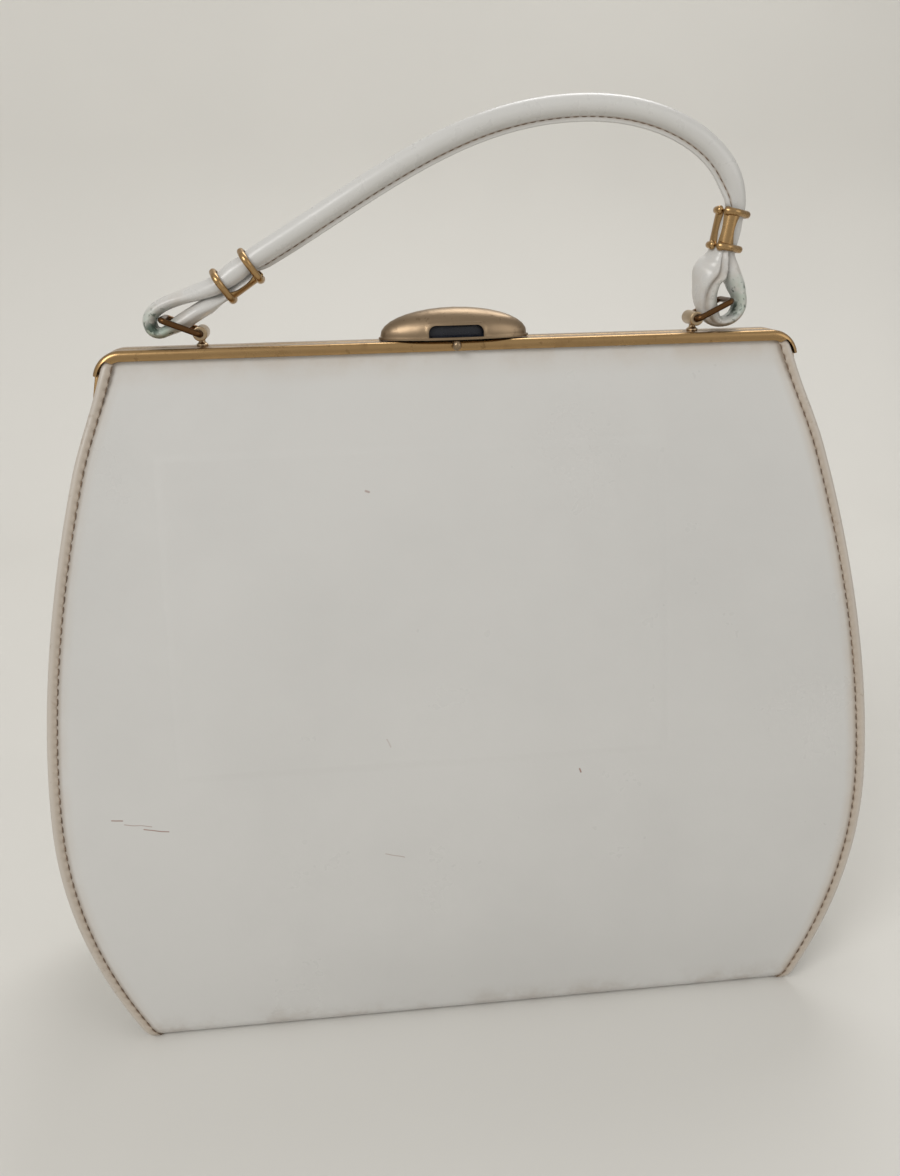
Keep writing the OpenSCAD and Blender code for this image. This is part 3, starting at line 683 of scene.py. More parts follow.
def stitch_row(rows):
    return binding_point(rows, 0.06, 0.2)


def binding_skin(mirror):
    rows = binding_path()
    seam = stitch_row(rows)
    run = np.concatenate([[0], np.cumsum(np.linalg.norm(np.diff(seam, axis=0), axis=1))])
    puff = 0.5 - 0.5 * np.cos(2 * np.pi * (run - run[SEWN_FROM]) / (sizes().edge_pitch / MM))
    lip, rise = 0.28 - 0.36 * puff, 0.1 + 0.34 * puff
    r = 1.38
    outline = [(lip, -0.9 + 0 * lip), (lip, rise * 0.35), (lip + 0.12, rise * 0.8), (lip + 0.4, rise),
               (0.95 + 0 * lip, 0.4 + 0.1 * puff), (1.45 + 0 * lip, 0.58 + 0.05 * puff)]
    for a in np.radians((88, 66, 44, 22, 0, -22, -44, -66, -90)):
        outline.append((BINDING_W - r + r * math.cos(a) + 0 * lip, 0.62 - r + r * math.sin(a) + 0 * lip))
    outline += [(1.1 + 0 * lip, 0.62 - 2 * r + 0 * lip), (0.35 + 0 * lip, 0.66 - 2 * r + 0 * lip),
                (0.3 + 0 * lip, -1.2 + 0 * lip)]
    rings = np.stack([binding_point(rows, s, h) for s, h in outline], axis=1)
    shares = [np.clip((np.mean(s) + 0.1) / BINDING_W, 0, 1) for s, h in outline]
    across = np.broadcast_to(shares, rings.shape[:2]).copy()
    across[:, -4:] = 0.8
    centre = rings.mean(axis=1, keepdims=True)
    first = centre[:1] + (rings[:1] - centre[:1]) * 0.72 - (rings[1:2] - rings[:1]) * 0.5
    last = centre[-1:] + (rings[-1:] - centre[-1:]) * 0.72 + (rings[-1:] - rings[-2:-1]) * 0.5
    rings = np.concatenate([first, rings, last])
    rings[..., 2] = np.maximum(rings[..., 2], 0.05)
    rings = rings * np.array(mirror)
    across = np.concatenate([across[:1], across, across[-1:]])
    points, faces = tube(rings)
    return Skin().add(points, faces, across=across)


def mouth_gap(z):
    """Half the slit between the front and back of a side, open above the hinges."""
    return max(0.0, 3.4 * (z - HINGE_Z - 6) / (FRAME_Z - HINGE_Z - 6))


def gusset_half(side):
    """Grid of half a side panel, right side, from the fold line in its middle to the front or back."""
    rows = []
    for z in np.linspace(SHELL_T + 0.1, CORNER_Z + 0.8, 88):
        deep = float(half_d(z)) - SHELL_T if z > FOLD_R else FOLD_Y + math.sqrt(
            max(0.0, (FOLD_R - SHELL_T) ** 2 - (FOLD_R - z) ** 2))
        gap = mouth_gap(z)
        v = np.linspace(0, 1, 25)
        y = gap + (deep - gap) * v
        flatter = 1 - 0.7 * ease((z - 172) / 8) * (1 - ease((z - 188) / 6))
        fold = 1.3 * ease((z - 20) / 120) * (1 - ease(v / 0.5)) * flatter
        ripple = 0.22 * np.sin(z / 9 + 2.1 * v) * np.sin(np.pi * v) * ease((z - 12) / 30)
        rows.append(np.stack([half_w(z) - GUSSET_IN - fold + ripple, side * y, np.full(25, z)], axis=1))
    return np.array(rows)


def lining_half(side):
    """Grid of half the lining: rows from the middle of its base, up the walls to the mouth."""
    deep_z = LINING_Z + 0.3

    def row(z, level=None):
        level = z if level is None else level
        close = 0.9 * ease((z - 190) / 8) * (1 - ease((z - 210) / 8))
        w = float(half_w(level)) - LINING_IN + close
        d = float(half_d(level)) - LINING_O
        gap = mouth_gap(z)
        r = min(6.0, d - gap - 0.3)
        turn = [(w - r + r * math.cos(a), d - r + r * math.sin(a)) for a in np.linspace(0, np.pi / 2, 9)]
        flat = [(w - r - (2 * w - 2 * r) * t, d) for t in np.linspace(0, 1, 60)[1:-1]]
        sidewall = [(w, gap + (d - r - gap) * t) for t in np.linspace(0, 1, 9)[:-1]]
        right = np.array(sidewall + turn)
        line = np.concatenate([right, np.array(flat), (right * [-1, 1])[::-1]])
        return line

    rows = []
    edge = row(deep_z, FOLD_R)
    edge[:, 1] = np.minimum(edge[:, 1], FOLD_Y)
    for k in (0.0, 0.35, 0.7, 0.95):
        rows.append(np.column_stack([edge[:, 0], side * edge[:, 1] * k, np.full(len(edge), deep_z)]))
    tops = [z for z in np.linspace(deep_z, 8, 3)] + list(np.linspace(10, TUCK_Z - 0.6, 84))
    for z in tops:
        line = row(z, max(z, FOLD_R))
        room = FOLD_Y + (float(half_d(max(z, FOLD_R))) - FOLD_Y) * ease((z - deep_z + 1) / 6)
        line[:, 1] = np.minimum(line[:, 1], room)
        pull = 0.45 * np.sin(line[:, 0] / 7.5 + z / 60) * ease((z - 20) / 60) * (1 - ease((z - 196) / 20))
        near = np.clip((line[:, 1] - 3) / 6, 0, 1)
        depth = side * (line[:, 1] - np.clip(pull, 0, None) * near)
        rows.append(np.column_stack([line[:, 0], depth, np.full(len(line), z)]))
    return np.array(rows)


class HANDBAG_OT_wrapper(bpy.types.Operator):
    """Fold the white vinyl sheet: front, base and back"""

    bl_idname = "handbag.wrapper"
    bl_label = "Vinyl wrapper"

    def execute(self, context):
        for side, name, body in ((-1, "front_panel", "front_half"), (1, "back_panel", "back_half")):
            material = finish("White vinyl, " + name[:-6], white_vinyl, side < 0)
            panel = panel_skin(side).build(name, material, "white_vinyl", 50)
            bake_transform(panel)
            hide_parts("body_wrapper")
        return {"FINISHED"}


class HANDBAG_OT_edges(bpy.types.Operator):
    """Roll the four edge bindings and sew them"""

    bl_idname = "handbag.edges"
    bl_label = "Edge bindings"

    def execute(self, context):
        material = finish("Edge vinyl", edge_vinyl)
        seam = stitch_row(binding_path()[SEWN_FROM:])
        for depth, body, half in ((-1, "front_half", "front"), (1, "back_half", "back")):
            rows = []
            for side, hand in ((-1, "left"), (1, "right")):
                edge = binding_skin((side, depth, 1)).build(f"{hand}_{half}_edge", material, "edge_vinyl", 60)
                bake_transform(edge)
                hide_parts(f"{hand}_{half}_binding")
                rows.append(seam * np.array((side, depth, 1)))
            size = sizes()
            sewn = sew(half + "_edge_stitches", rows, size.edge_pitch / MM, size.edge_stitch / MM,
                       size.thread / MM)
            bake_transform(sewn)
        return {"FINISHED"}


class HANDBAG_OT_gussets(bpy.types.Operator):
    """Make the side panels, folded inwards at the top"""

    bl_idname = "handbag.gussets"
    bl_label = "Side panels"

    def execute(self, context):
        material = finish("White vinyl, sides", white_vinyl, False)
        for side, hand in ((-1, "left"), (1, "right")):
            for depth, body, half in ((-1, "front_half", "front"), (1, "back_half", "back")):
                grid = gusset_half(depth) * np.array((side, 1, 1))
                if side * depth < 0:
                    grid = grid[:, ::-1]
                points, faces = sheet(grid, GUSSET_T)
                edge = (np.abs(grid[..., 1]).max(axis=1, keepdims=True) - np.abs(grid[..., 1])).ravel() + 2.5
                piece = Skin().add(points, faces, edge=np.concatenate([edge, edge]))
                piece = piece.build(f"{hand}_gusset_{half}", material, "white_vinyl", 50)
                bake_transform(piece)
                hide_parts(hand + "_gusset")
        return {"FINISHED"}


class HANDBAG_OT_lining(bpy.types.Operator):
    """Sew the cloth lining with its pocket, over the board of the base"""

    bl_idname = "handbag.lining"
    bl_label = "Lining and pocket"

    def execute(self, context):
        cloth = finish("Lining cloth", lining_cloth)
        for depth, body, half in ((-1, "front_half", "front"), (1, "back_half", "back")):
            grid = lining_half(depth)
            if depth < 0:
                grid = grid[:, ::-1]
            points, faces = sheet(grid, LINING_T - 0.1)
            piece = Skin().add(points, faces).build("lining_" + half, cloth, "lining_cloth", 60)
            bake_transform(piece)
            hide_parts("lining")
        low, high, wide = WIDEST_Z * 0.6, WIDEST_Z * 1.7, BASE_W * 0.55 / 2
        rows = []
        for z in np.linspace(low, high, 45):
            x = np.linspace(-wide, wide, 61)
            y = half_d(z) - LINING_O - LINING_T - 0.05
            slack = 0.5 * ease((z - low) / 20) * np.sin(np.pi * (x / wide + 1) / 2) ** 0.7
            hem = 0.35 * np.exp(-(((z - high + 2.2) / 1.6) ** 2))
            rows.append(np.stack([x, y - slack - hem, np.full(61, z)], axis=1))
        patch = Skin().add(*sheet(np.array(rows), -0.5))
        pocket = patch.build("lining_pocket_patch", cloth, "lining_cloth", 60)
        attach(pocket, "bag")
        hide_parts("lining_pocket")
        grid = np.array(rows)
        path = np.concatenate([grid[::-1, 1], grid[1, 1:-1], grid[:, -2]]) - [0, 0.12, 0]
        hem_row = grid[-4] - [0, 0.1, 0]
        sewn = sew("pocket_stitches", [path, hem_row], 2.6, 1.8, 0.32)
        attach(sewn, "bag")
        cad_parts["base_board"].data.materials.clear()
        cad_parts["base_board"].data.materials.append(finish("Grey board", grey_board))
        return {"FINISHED"}


# ------------------------------------------------------------------ metal

ARM_IN, ARM_T, ARM_D, ARM_SET = 2.7, 2.6, 3.6, 0.2
EYE_R, EYE_T, EYE_GAP, EYE_SET, EYE_CLEAR, FOOT_H = 3.4, 1.4, 0.3, 2.1, 0.6, 3.0
EYE_BORE, RIVET_R, RIVET_HEAD, RIVET_DOME = 1.1, 1.05, 2.3, 1.1
ARM_X = float(half_w(HINGE_Z)) - ARM_IN
ARM_RUN = (ARM_X - CORNER_X, CORNER_Z - HINGE_Z)
ARM_A = math.acos(CORNER_R / math.hypot(*ARM_RUN)) - math.atan2(ARM_RUN[1], ARM_RUN[0])
ARM_LEN = (ARM_RUN[1] - EYE_R - EYE_CLEAR + (CORNER_R - ARM_T) * math.sin(ARM_A)) / math.cos(ARM_A)
FOOT_IN = ARM_SET + ARM_T / math.cos(ARM_A) + (EYE_R + EYE_CLEAR + FOOT_H) * math.tan(ARM_A)


def frame_half_skin(side, eye_x):
    """Channel bar with round corners, arms and hinge eyes; side is -1 at the front."""
    skin = Skin()
    outline = [(0, SEAM), (0, SLOT_IN), (SLOT_TOP, SLOT_IN), (SLOT_TOP, SLOT_OUT), (0, SLOT_OUT),
               (0, FRAME_D / 2), (BAR_H, FRAME_D / 2), (BAR_H, SEAM)]
    section = rounded(outline, (0.15, 0.15, 0.2, 0.2, 0.15, 0.25, 1.6, 0.45), 6)
    up, out = section[:, 0], section[:, 1]
    rings = []
    steps = 30
    thin = np.where(out > SLOT_IN - 0.05, np.maximum(up, BAR_H - 1.25), up)
    for a in np.linspace(ARM_A, np.pi / 2, steps):
        r = CORNER_R - BAR_H + up + (thin - up) * ease((math.radians(64) - a) / math.radians(14))
        rings.append(np.stack([CORNER_X + r * math.cos(a), side * out, CORNER_Z + r * math.sin(a)], axis=1))
    for x in np.linspace(CORNER_X, -CORNER_X, 33)[1:-1]:
        rings.append(np.stack([np.full(len(up), x), side * out, BAR_Z + up], axis=1))
    rings += [ring * [-1, 1, 1] for ring in rings[steps - 1::-1]]
    skin.add(*tube(rings))
    for s in (-1, 1):
        def arm(p):
            x = p[:, 0] * math.cos(ARM_A) - p[:, 2] * math.sin(ARM_A)
            z = p[:, 0] * math.sin(ARM_A) + p[:, 2] * math.cos(ARM_A)
            return np.stack([s * (CORNER_X + x), -side * p[:, 1], CORNER_Z + z], axis=1)

        low, high = (CORNER_R - ARM_T - ARM_SET, -ARM_D, -ARM_LEN), (CORNER_R - ARM_SET, -SEAM, 0.6)
        skin.add(*soft_box(low, high, 0.35, arm))

        def hinge(p):
            return np.stack([s * p[:, 0], -side * p[:, 1], p[:, 2]], axis=1)

        inner = ARM_X - max(FOOT_IN, eye_x)
        top = HINGE_Z + EYE_R + EYE_CLEAR + FOOT_H
        high = (ARM_X - eye_x + EYE_T, -2 * SEAM, top)
        for low in ((inner, -ARM_D + 0.3, top - FOOT_H), (ARM_X - eye_x, -ARM_D + 0.3, HINGE_Z)):
            skin.add(*soft_box(low, high, 0.3, hinge))
        ring = rounded([(EYE_BORE, 0), (EYE_R, 0), (EYE_R, EYE_T), (EYE_BORE, EYE_T)], 0.2, 2)
        skin.add(*turned(ring, lambda a, b, h: (s * (ARM_X - eye_x + h), a, HINGE_Z + b), 40))
    return skin


def rivet_skin(s):
    """Hinge rivet with a domed head outside and a flat one inside."""
    deep = GUSSET_IN + GUSSET_T - ARM_IN + 1.6
    face = -EYE_SET + EYE_T + 0.2
    profile = [(0, -deep), (2.0, -deep), (2.2, -deep + 0.2), (2.2, -deep + 0.8), (2.05, -deep + 0.95),
               (RIVET_R, -deep + 0.95), (RIVET_R, face), (2.2, face), (RIVET_HEAD, face + 0.15)]
    for a in np.radians((20, 40, 60, 78)):
        profile.append((RIVET_HEAD * math.cos(a), face + RIVET_DOME * math.sin(a)))
    profile.append((0, face + RIVET_DOME))
    return Skin().add(*turned(profile, lambda a, b, h: (s * (ARM_X + h), a, HINGE_Z + b), 32))


class HANDBAG_OT_frame(bpy.types.Operator):
    """Bend the two halves of the gold frame and rivet them"""

    bl_idname = "handbag.frame"
    bl_label = "Hinged frame"

    def execute(self, context):
        gold = finish("Aged gold, frame", aged_gold, "gold", 0.2, 0.2)
        for side, half, eye_x in ((-1, "front", EYE_SET), (1, "back", EYE_SET + EYE_T + EYE_GAP)):
            bar = frame_half_skin(side, eye_x).build(half + "_frame_channel", gold, "gold_metal", 38)
            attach(bar, half + "_half")
            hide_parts(half + "_frame")
        for s, hand in ((-1, "left"), (1, "right")):
            rivet = rivet_skin(s).build(hand + "_rivet", gold, "gold_metal", 40)
            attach(rivet, "bag")
            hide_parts(hand + "_hinge_rivet")
        return {"FINISHED"}


class HANDBAG_OT_clasp(bpy.types.Operator):
    """Dress the domed clasp, its plate, hinge and catch"""

    bl_idname = "handbag.clasp"
    bl_label = "Lift clasp"

    def execute(self, context):
        gold = finish("Aged gold, clasp", aged_gold, "clasp_gold", 0.14, 0.3)
        enamel = finish("Dark enamel", dark_enamel)
        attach(node_copy("clasp_shell", "clasp_dome", gold, 34, 0.1), "clasp")
        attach(node_copy("clasp_plate", "clasp_inlay", enamel, 40, 0.05), "clasp")
        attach(node_copy("clasp_ears", "clasp_bracket", gold, 40, 0.1), "back_half")
        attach(node_copy("clasp_axle", "clasp_pin", gold, 40, 0.1), "back_half")
        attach(node_copy("catch_ball", "catch_stud", gold, 40, 0.06), "front_half")
        return {"FINISHED"}


def lug_skin(s):
    skin = Skin()
    h, r, bore = LUG_LEN / 2, LUG_R, WIRE_D / 2 + 0.05
    barrel = rounded([(bore, -h), (r, -h), (r, h), (bore, h)], (0.12, 0.3, 0.3, 0.12), 4)
    skin.add(*turned(barrel, lambda a, b, v: (s * LUG_X + a, LUG_Y + v, LUG_Z + b), 40))
    stem = [(0, 0), (1.75, 0), (1.85, 0.15), (1.8, 0.45), (1.35, 0.75), (1.05, 1.15), (1.0, 1.6),
            (1.15, 2.1), (1.5, 2.6), (0, 2.75)]
    return skin.add(*turned(stem, lambda a, b, v: (s * LUG_X + a, LUG_Y + b, FRAME_Z + v), 28))


def ring_skin(s, turn):
    wide, bend = LUG_LEN / 2 + 0.1 + 1.2, 1.2
    path = rounded([(0, -wide), (RING_LEN, -wide), (RING_LEN, wide), (0, wide)], bend, 7)
    long = []
    for i in range(len(path)):
        a, b = path[i], path[(i + 1) % len(path)]
        steps = max(1, int(np.linalg.norm(b - a) / 1.5))
        long += [a + (b - a) * k / steps for k in range(steps)]
    c, d = math.cos(turn), math.sin(turn)

    def place(x, y, off):
        return np.stack([s * (LUG_X + x * c - off * d), LUG_Y + y, LUG_Z + x * d + off * c], axis=-1)

    return Skin().add(*tube(flat_sweep(long, circle(WIRE_D / 2, 16), place, True), True))


class HANDBAG_OT_rings(bpy.types.Operator):
    """Set the lugs on the frame and bend the wire rings"""

    bl_idname = "handbag.rings"
    bl_label = "Lugs and rings"

    def execute(self, context):
        gold = finish("Aged gold, lugs", aged_gold, "lug_gold", 0.25, 0.26)
        dark = finish("Browned gold, rings", aged_gold, "bronze", 0.6, 0.2)
        for s, hand in ((-1, "left"), (1, "right")):
            lug = lug_skin(s).build(hand + "_lug_tube", gold, "gold_metal", 40)
            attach(lug, "back_half")
            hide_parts(hand + "_lug")
            turn = math.radians(RING_TURN[hand])
            ring = ring_skin(s, turn).build(hand + "_wire_ring", dark, "gold_metal", 60)
            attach(ring, hand + "_handle_ring")
            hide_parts(hand + "_ring")
        return {"FINISHED"}


# ------------------------------------------------------------------ handle

# Centre of each keeper, its lean and its turn about its own length
KEEP = {"left": (np.array((-LUG_X + 12.5, FRAME_Z + 19.8)), 33.0, -24.0),
        "right": (np.array((LUG_X + 9.4, FRAME_Z + 30.5)), 80.0, 38.0)}
KEEP_HALF, KEEP_LEN, KEEP_T, KEEP_Y = 4.05, 12.5, 0.7, 3.35
MAIN_V, BACK_V = 1.35, -2.8
CROWN = np.array((42.0, FRAME_Z + 67.0))


def keeper_axes(hand):
    """Centre of a keeper, its way to the crown, its outward side and its turn, in the plane of the lugs."""
    centre, lean, turn = KEEP[hand]
    a = math.radians(lean)
    u = np.array((math.cos(a), math.sin(a)))
    v = np.array((-u[1], u[0])) if hand == "left" else np.array((u[1], -u[0]))
    return centre + 0.6 * v, u, v, math.radians(turn)


def bezier(p, t):
    p, t = np.asarray(p, float), np.asarray(t, float)[:, None]
    return (1 - t) ** 3 * p[0] + 3 * (1 - t) ** 2 * t * p[1] + 3 * (1 - t) * t * t * p[2] + t**3 * p[3]


def strap_route():
    """Points of the strap's middle line every 0.7 mm, each with its place counted in runs."""
    cl, ul, vl, turn_l = keeper_axes("left")
    cr, ur, vr, turn_r = keeper_axes("right")

    def left(u, v):
        return cl + u * ul + v * math.cos(turn_l) * vl

    def right(u, v):
        return cr + u * ur + v * math.cos(turn_r) * vr

    def line(a, b):
        return [a, a + (b - a) / 3, a + (b - a) * 2 / 3, b]

    low_l, far_l = np.array((-LUG_X - 11, FRAME_Z + 4.4)), np.array((-LUG_X - 15.2, FRAME_Z + 7.6))
    far_r, low_r, in_r = (np.array((LUG_X + 15, FRAME_Z + 9.7)), np.array((LUG_X + 9, FRAME_Z + 2.3)),
                          np.array((LUG_X + 3.5, FRAME_Z + 12.7)))
    a, b = left(-6.5, BACK_V), left(-6.5, MAIN_V)
    c, d = left(6.5, MAIN_V), right(6.5, MAIN_V)
    e, f = right(-6.5, MAIN_V), right(-6.5, BACK_V)
    rise = np.array((math.cos(math.radians(29)), math.sin(math.radians(29))))
    runs = [
        line(left(5.5, BACK_V), a),
        [a, a + (-6.3, -2.9), low_l + (5, 2.1), low_l],
        [low_l, low_l + (-2.4, -1), far_l - (0, 2.6), far_l],
        [far_l, far_l + (0.5, 5.6), b + (-9, -3.2), b],
        line(b, c),
        [c, c + 45 * rise, CROWN - (38, 0), CROWN],
        [CROWN, CROWN + (28, 0), d + (0.5, 16), d],
        line(d, e),
        [e, right(-10.5, MAIN_V), far_r + (-1.4, 6), far_r],
        [far_r, far_r + (1.0, -4.5), low_r + (3.8, 0), low_r],
        [low_r, low_r - (2.6, 0), in_r - (0, 5.5), in_r],
        [in_r, in_r + (0, 6), right(-11.5, BACK_V), f],
        line(f, right(5.5, BACK_V)),
    ]
    points, place = [], []
    for i, run in enumerate(runs):
        rough = bezier(run, np.linspace(0, 1, 60))
        count = max(3, int(np.linalg.norm(np.diff(rough, axis=0), axis=1).sum() / 0.7))
        t = np.arange(count) / count
        points.append(bezier(run, t))
        place.append(i + t)
    points.append([runs[-1][3]])
    place.append([len(runs)])
    return np.concatenate(points), np.concatenate(place)


# Place along the strap, half thickness, half width, flange, crease on the outer face
STRAP_SIZES = np.array([
    (0.0, 1.2, 3.0, 0.0, 0.0), (1.0, 1.25, 3.0, 0.0, 0.0), (1.3, 2.5, 4.2, 0.0, 0.06),
    (1.65, 2.5, 4.2, 0.0, 0.06), (2.0, 1.65, 4.3, 0.0, 0.0), (3.0, 2.1, 4.2, 0.0, 0.0),
    (3.6, 2.05, 4.1, 0.0, 0.0), (4.0, 2.65, 3.2, 0.0, 0.0), (4.5, 3.15, 3.4, 0.0, 0.0),
    (4.97, 2.7, 3.2, 0.6, 0.0), (5.03, 3.2, 3.2, 1.8, 0.0), (6.96, 3.2, 3.2, 1.8, 0.0),
    (7.02, 2.7, 3.2, 0.6, 0.0), (7.5, 3.15, 3.4, 0.0, 0.0), (8.0, 2.65, 3.2, 0.0, 0.0),
    (8.5, 2.95, 4.0, 0.0, 0.0), (8.75, 2.75, 4.1, 0.0, 0.0), (9.0, 2.1, 4.2, 0.0, 0.0),
    (10.0, 1.6, 4.3, 0.0, 0.05), (10.6, 3.2, 4.3, 0.0, 0.3), (11.0, 3.5, 4.5, 0.0, 0.4),
    (11.35, 3.1, 5.6, 0.0, 0.45), (11.6, 2.5, 5.2, 0.0, 0.4), (11.82, 1.9, 4.4, 0.0, 0.35),
    (12.0, 1.4, 3.5, 0.0, 0.25), (13.0, 1.2, 3.0, 0.0, 0.1),
])


def strap_sweep(path, place, sections):
    """Rings of the strap's sections along its route, turned with the keepers."""
    left, right = (math.radians(KEEP[hand][2]) for hand in ("left", "right"))
    first = 1 - ease((place - 1.0) / 0.5)
    rise = ease((place - 3.4) / 0.6) * (1 - ease((place - 5.0) / 0.2))
    main = ease((place - 6.75) / 0.25) * (1 - ease((place - 8.0) / 0.7))
    back, late = ease((place - 10.4) / 0.8), ease((place - 10.75) / 0.6)
    angle = left * (rise - first) + right * (main - back) - 0.4 * np.exp(-(((place - 11.45) / 0.3) ** 2))
    shift = math.sin(left) * (MAIN_V * rise + BACK_V * first)
    shift = shift + math.sin(right) * (MAIN_V * main + BACK_V * late)
    c, s = np.cos(angle)[:, None], np.sin(angle)[:, None]
    p, q = sections[..., 0], sections[..., 1]
    turned_sections = np.stack([p * c - q * s, p * s + q * c + shift[:, None]], axis=-1)
    return flat_sweep(path, turned_sections, lambda x, z, off: np.stack([x, LUG_Y + off, z], axis=-1))


def strap_section(thick, wide, flange, crease):
    """Outline of the strap: a roll with a sewn flange on its inner side, or a flat roll with a crease."""
    out, groove = [], []
    for a in np.radians(np.linspace(-158, 158, 33)):
        dent = 1 - crease * math.exp(-(((a + 0.95) / 0.24) ** 2))
        dent += 0.25 * crease * math.exp(-(((a + 0.3) / 0.4) ** 2))
        out.append((thick * math.cos(a) * dent, wide * math.sin(a) * dent))
        groove.append(math.exp(-(((a + 0.95) / 0.2) ** 2)) * crease * 1.6)
    k = min(flange / 1.8, 1.0)
    root = thick * 0.93
    lip = [(0.35, 0.62), (0.75, 0.66), (1.5, 0.74), (1.74, 0.52), (1.8, 0.0)]
    lip += [(reach, -half) for reach, half in lip[-2::-1]]
    for reach, half in lip:
        rest = wide * 0.3 * (half / 0.74)
        out.append((-root - reach * k - (1 - k) * 0.06 * thick, half * k + rest * (1 - k)))
        groove.append(k * (0.95 if reach < 0.5 else 0.35 if reach < 1 else 0.0))
    return np.array(out), groove


def strap_skin():
    path, place = strap_route()
    columns = []
    for k in range(1, 5):
        at = np.searchsorted(STRAP_SIZES[:, 0], place, side="right").clip(1, len(STRAP_SIZES) - 1)
        a, b = STRAP_SIZES[at - 1], STRAP_SIZES[at]
        t = ease((place - a[:, 0]) / (b[:, 0] - a[:, 0]))
        columns.append(a[:, k] + (b[:, k] - a[:, k]) * t)
    sections, grooves = zip(*(strap_section(*row) for row in np.stack(columns, axis=1)))
    rings = strap_sweep(path, place, np.array(sections))
    return Skin().add(*tube(rings), groove=np.array(grooves))


def flange_rows():
    """Rows of stitches on both faces of the handle's flange."""
    path, place = strap_route()
    keep = (place > 5.02) & (place < 6.97)
    section = np.array([(-CORD_D / 2 - 0.2, -0.62), (-CORD_D / 2 - 0.2, 0.62)])
    rows = strap_sweep(path, place, np.broadcast_to(section, (len(path), 2, 2)))
    return [rows[keep, 0], rows[keep, 1]]


def keeper_skin(hand):
    """Keeper of bent sheet: half-round rims round both ends, joined by two waisted plates inside."""
    centre, u, v, turn = keeper_axes(hand)
    c, s = math.cos(turn), math.sin(turn)
    facing = u[0] * v[1] - u[1] * v[0]
    w, h, bend = KEEP_HALF + KEEP_T, KEEP_Y + KEEP_T, 2.8

    def place(p, y, off):
        flat = centre + off[..., None] * u + (p * c - y * s)[..., None] * v
        return np.stack([flat[..., 0], LUG_Y + p * s + y * c, flat[..., 1]], axis=-1)

    arc = np.radians(np.linspace(0, 90, 13))
    across = np.concatenate([[-w], -w + bend - bend * np.cos(arc), w - bend + bend * np.sin(arc), [w]])
    depth = np.concatenate([[0], h - bend + bend * np.sin(arc), h - bend + bend * np.cos(arc), [0]])
    run = np.concatenate([[0], np.cumsum(np.hypot(np.diff(across), np.diff(depth)))])
    skin = Skin()
    level = np.linspace(-KEEP_LEN / 2 + 0.7, KEEP_LEN / 2 - 0.7, 29)[:, None]
    waist = 1 - (level / level.max()) ** 2
    near, far = 0.12 + 0.6 * waist**1.5, 7.0 - 2.0 * waist
    reach = near + (far - near) * np.linspace(0, 1, 21)
    for side in (-1, 1):
        grid = place(np.interp(reach, run, across), side * np.interp(reach, run, depth), level + 0 * reach)
        skin.add(*sheet(grid if side * facing > 0 else grid[:, ::-1], KEEP_T))
    length = np.linspace(0.2, run[-1], 44)
    path = np.column_stack([np.interp(length, run, across), np.interp(length, run, depth)])
    path = np.concatenate([path, (path * [1, -1])[-2::-1]])
    gone = np.concatenate([[0], np.cumsum(np.linalg.norm(np.diff(path, axis=0), axis=1))])
    ends = np.minimum(gone, gone[-1] - gone)
    swell = (1 + 0.3 * np.exp(-(((ends - 1.2) / 1.0) ** 2))) * np.sqrt(np.clip(ends / 0.8 + 0.08, 0, 1))
    dome = [(0.95 * math.sin(a), 1.08 * math.cos(a)) for a in np.radians(np.linspace(0, 180, 13))]
    sections = np.array(dome + [(-0.25, -0.98), (-0.25, 0.98)])[None] * swell[:, None, None]
    for at in (-KEEP_LEN / 2 + 1.0, KEEP_LEN / 2 - 1.0):
        skin.add(*tube(flat_sweep(path, sections, lambda p, y, off: place(p, y, at + off))))
    return skin


class HANDBAG_OT_handle(bpy.types.Operator):
    """Roll the handle, loop its ends through the rings and clamp the keepers"""

    bl_idname = "handbag.handle"
    bl_label = "Rolled handle"

    def execute(self, context):
        strap = strap_skin().build("rolled_handle", finish("Handle vinyl", handle_vinyl), "white_vinyl", 70)
        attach(strap, "back_half")
        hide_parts("handle_strap")
        size = sizes()
        sewn = sew("handle_stitches", flange_rows(), size.handle_pitch / MM, size.handle_stitch / MM,
                   size.thread / MM * 0.9)
        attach(sewn, "back_half")
        gold = finish("Aged gold, keepers", aged_gold, "gold", 0.4, 0.22)
        for hand in ("left", "right"):
            keeper = keeper_skin(hand).build(hand + "_keeper_clamp", gold, "gold_metal", 50)
            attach(keeper, "back_half")
            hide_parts(hand + "_keeper")
        return {"FINISHED"}


# ------------------------------------------------------------------ stage

# Floor and wall in metres, room light for surfaces and for seen rays, and the camera fitted to the photo
FLOOR_HALF, FLOOR_FRONT, FLOOR_BEND, FLOOR_R, WALL_TOP = 5.0, -5.0, 0.55, 0.35, 2.0
ROOM_TINT, ROOM_LEVEL, SEEN_LEVEL = (1.0, 0.985, 0.955), 0.55, 0.63
FILM, LENS_SHARE = 36.0, 1043.17 / 1176
CAM_AT = (-0.037064, -0.333535, 0.259628)
CAM_RIGHT = (0.993849, -0.108841, -0.020429)
CAM_DOWN = (-0.054724, -0.322319, -0.945048)
CAM_AHEAD = (0.096275, 0.940353, -0.326293)


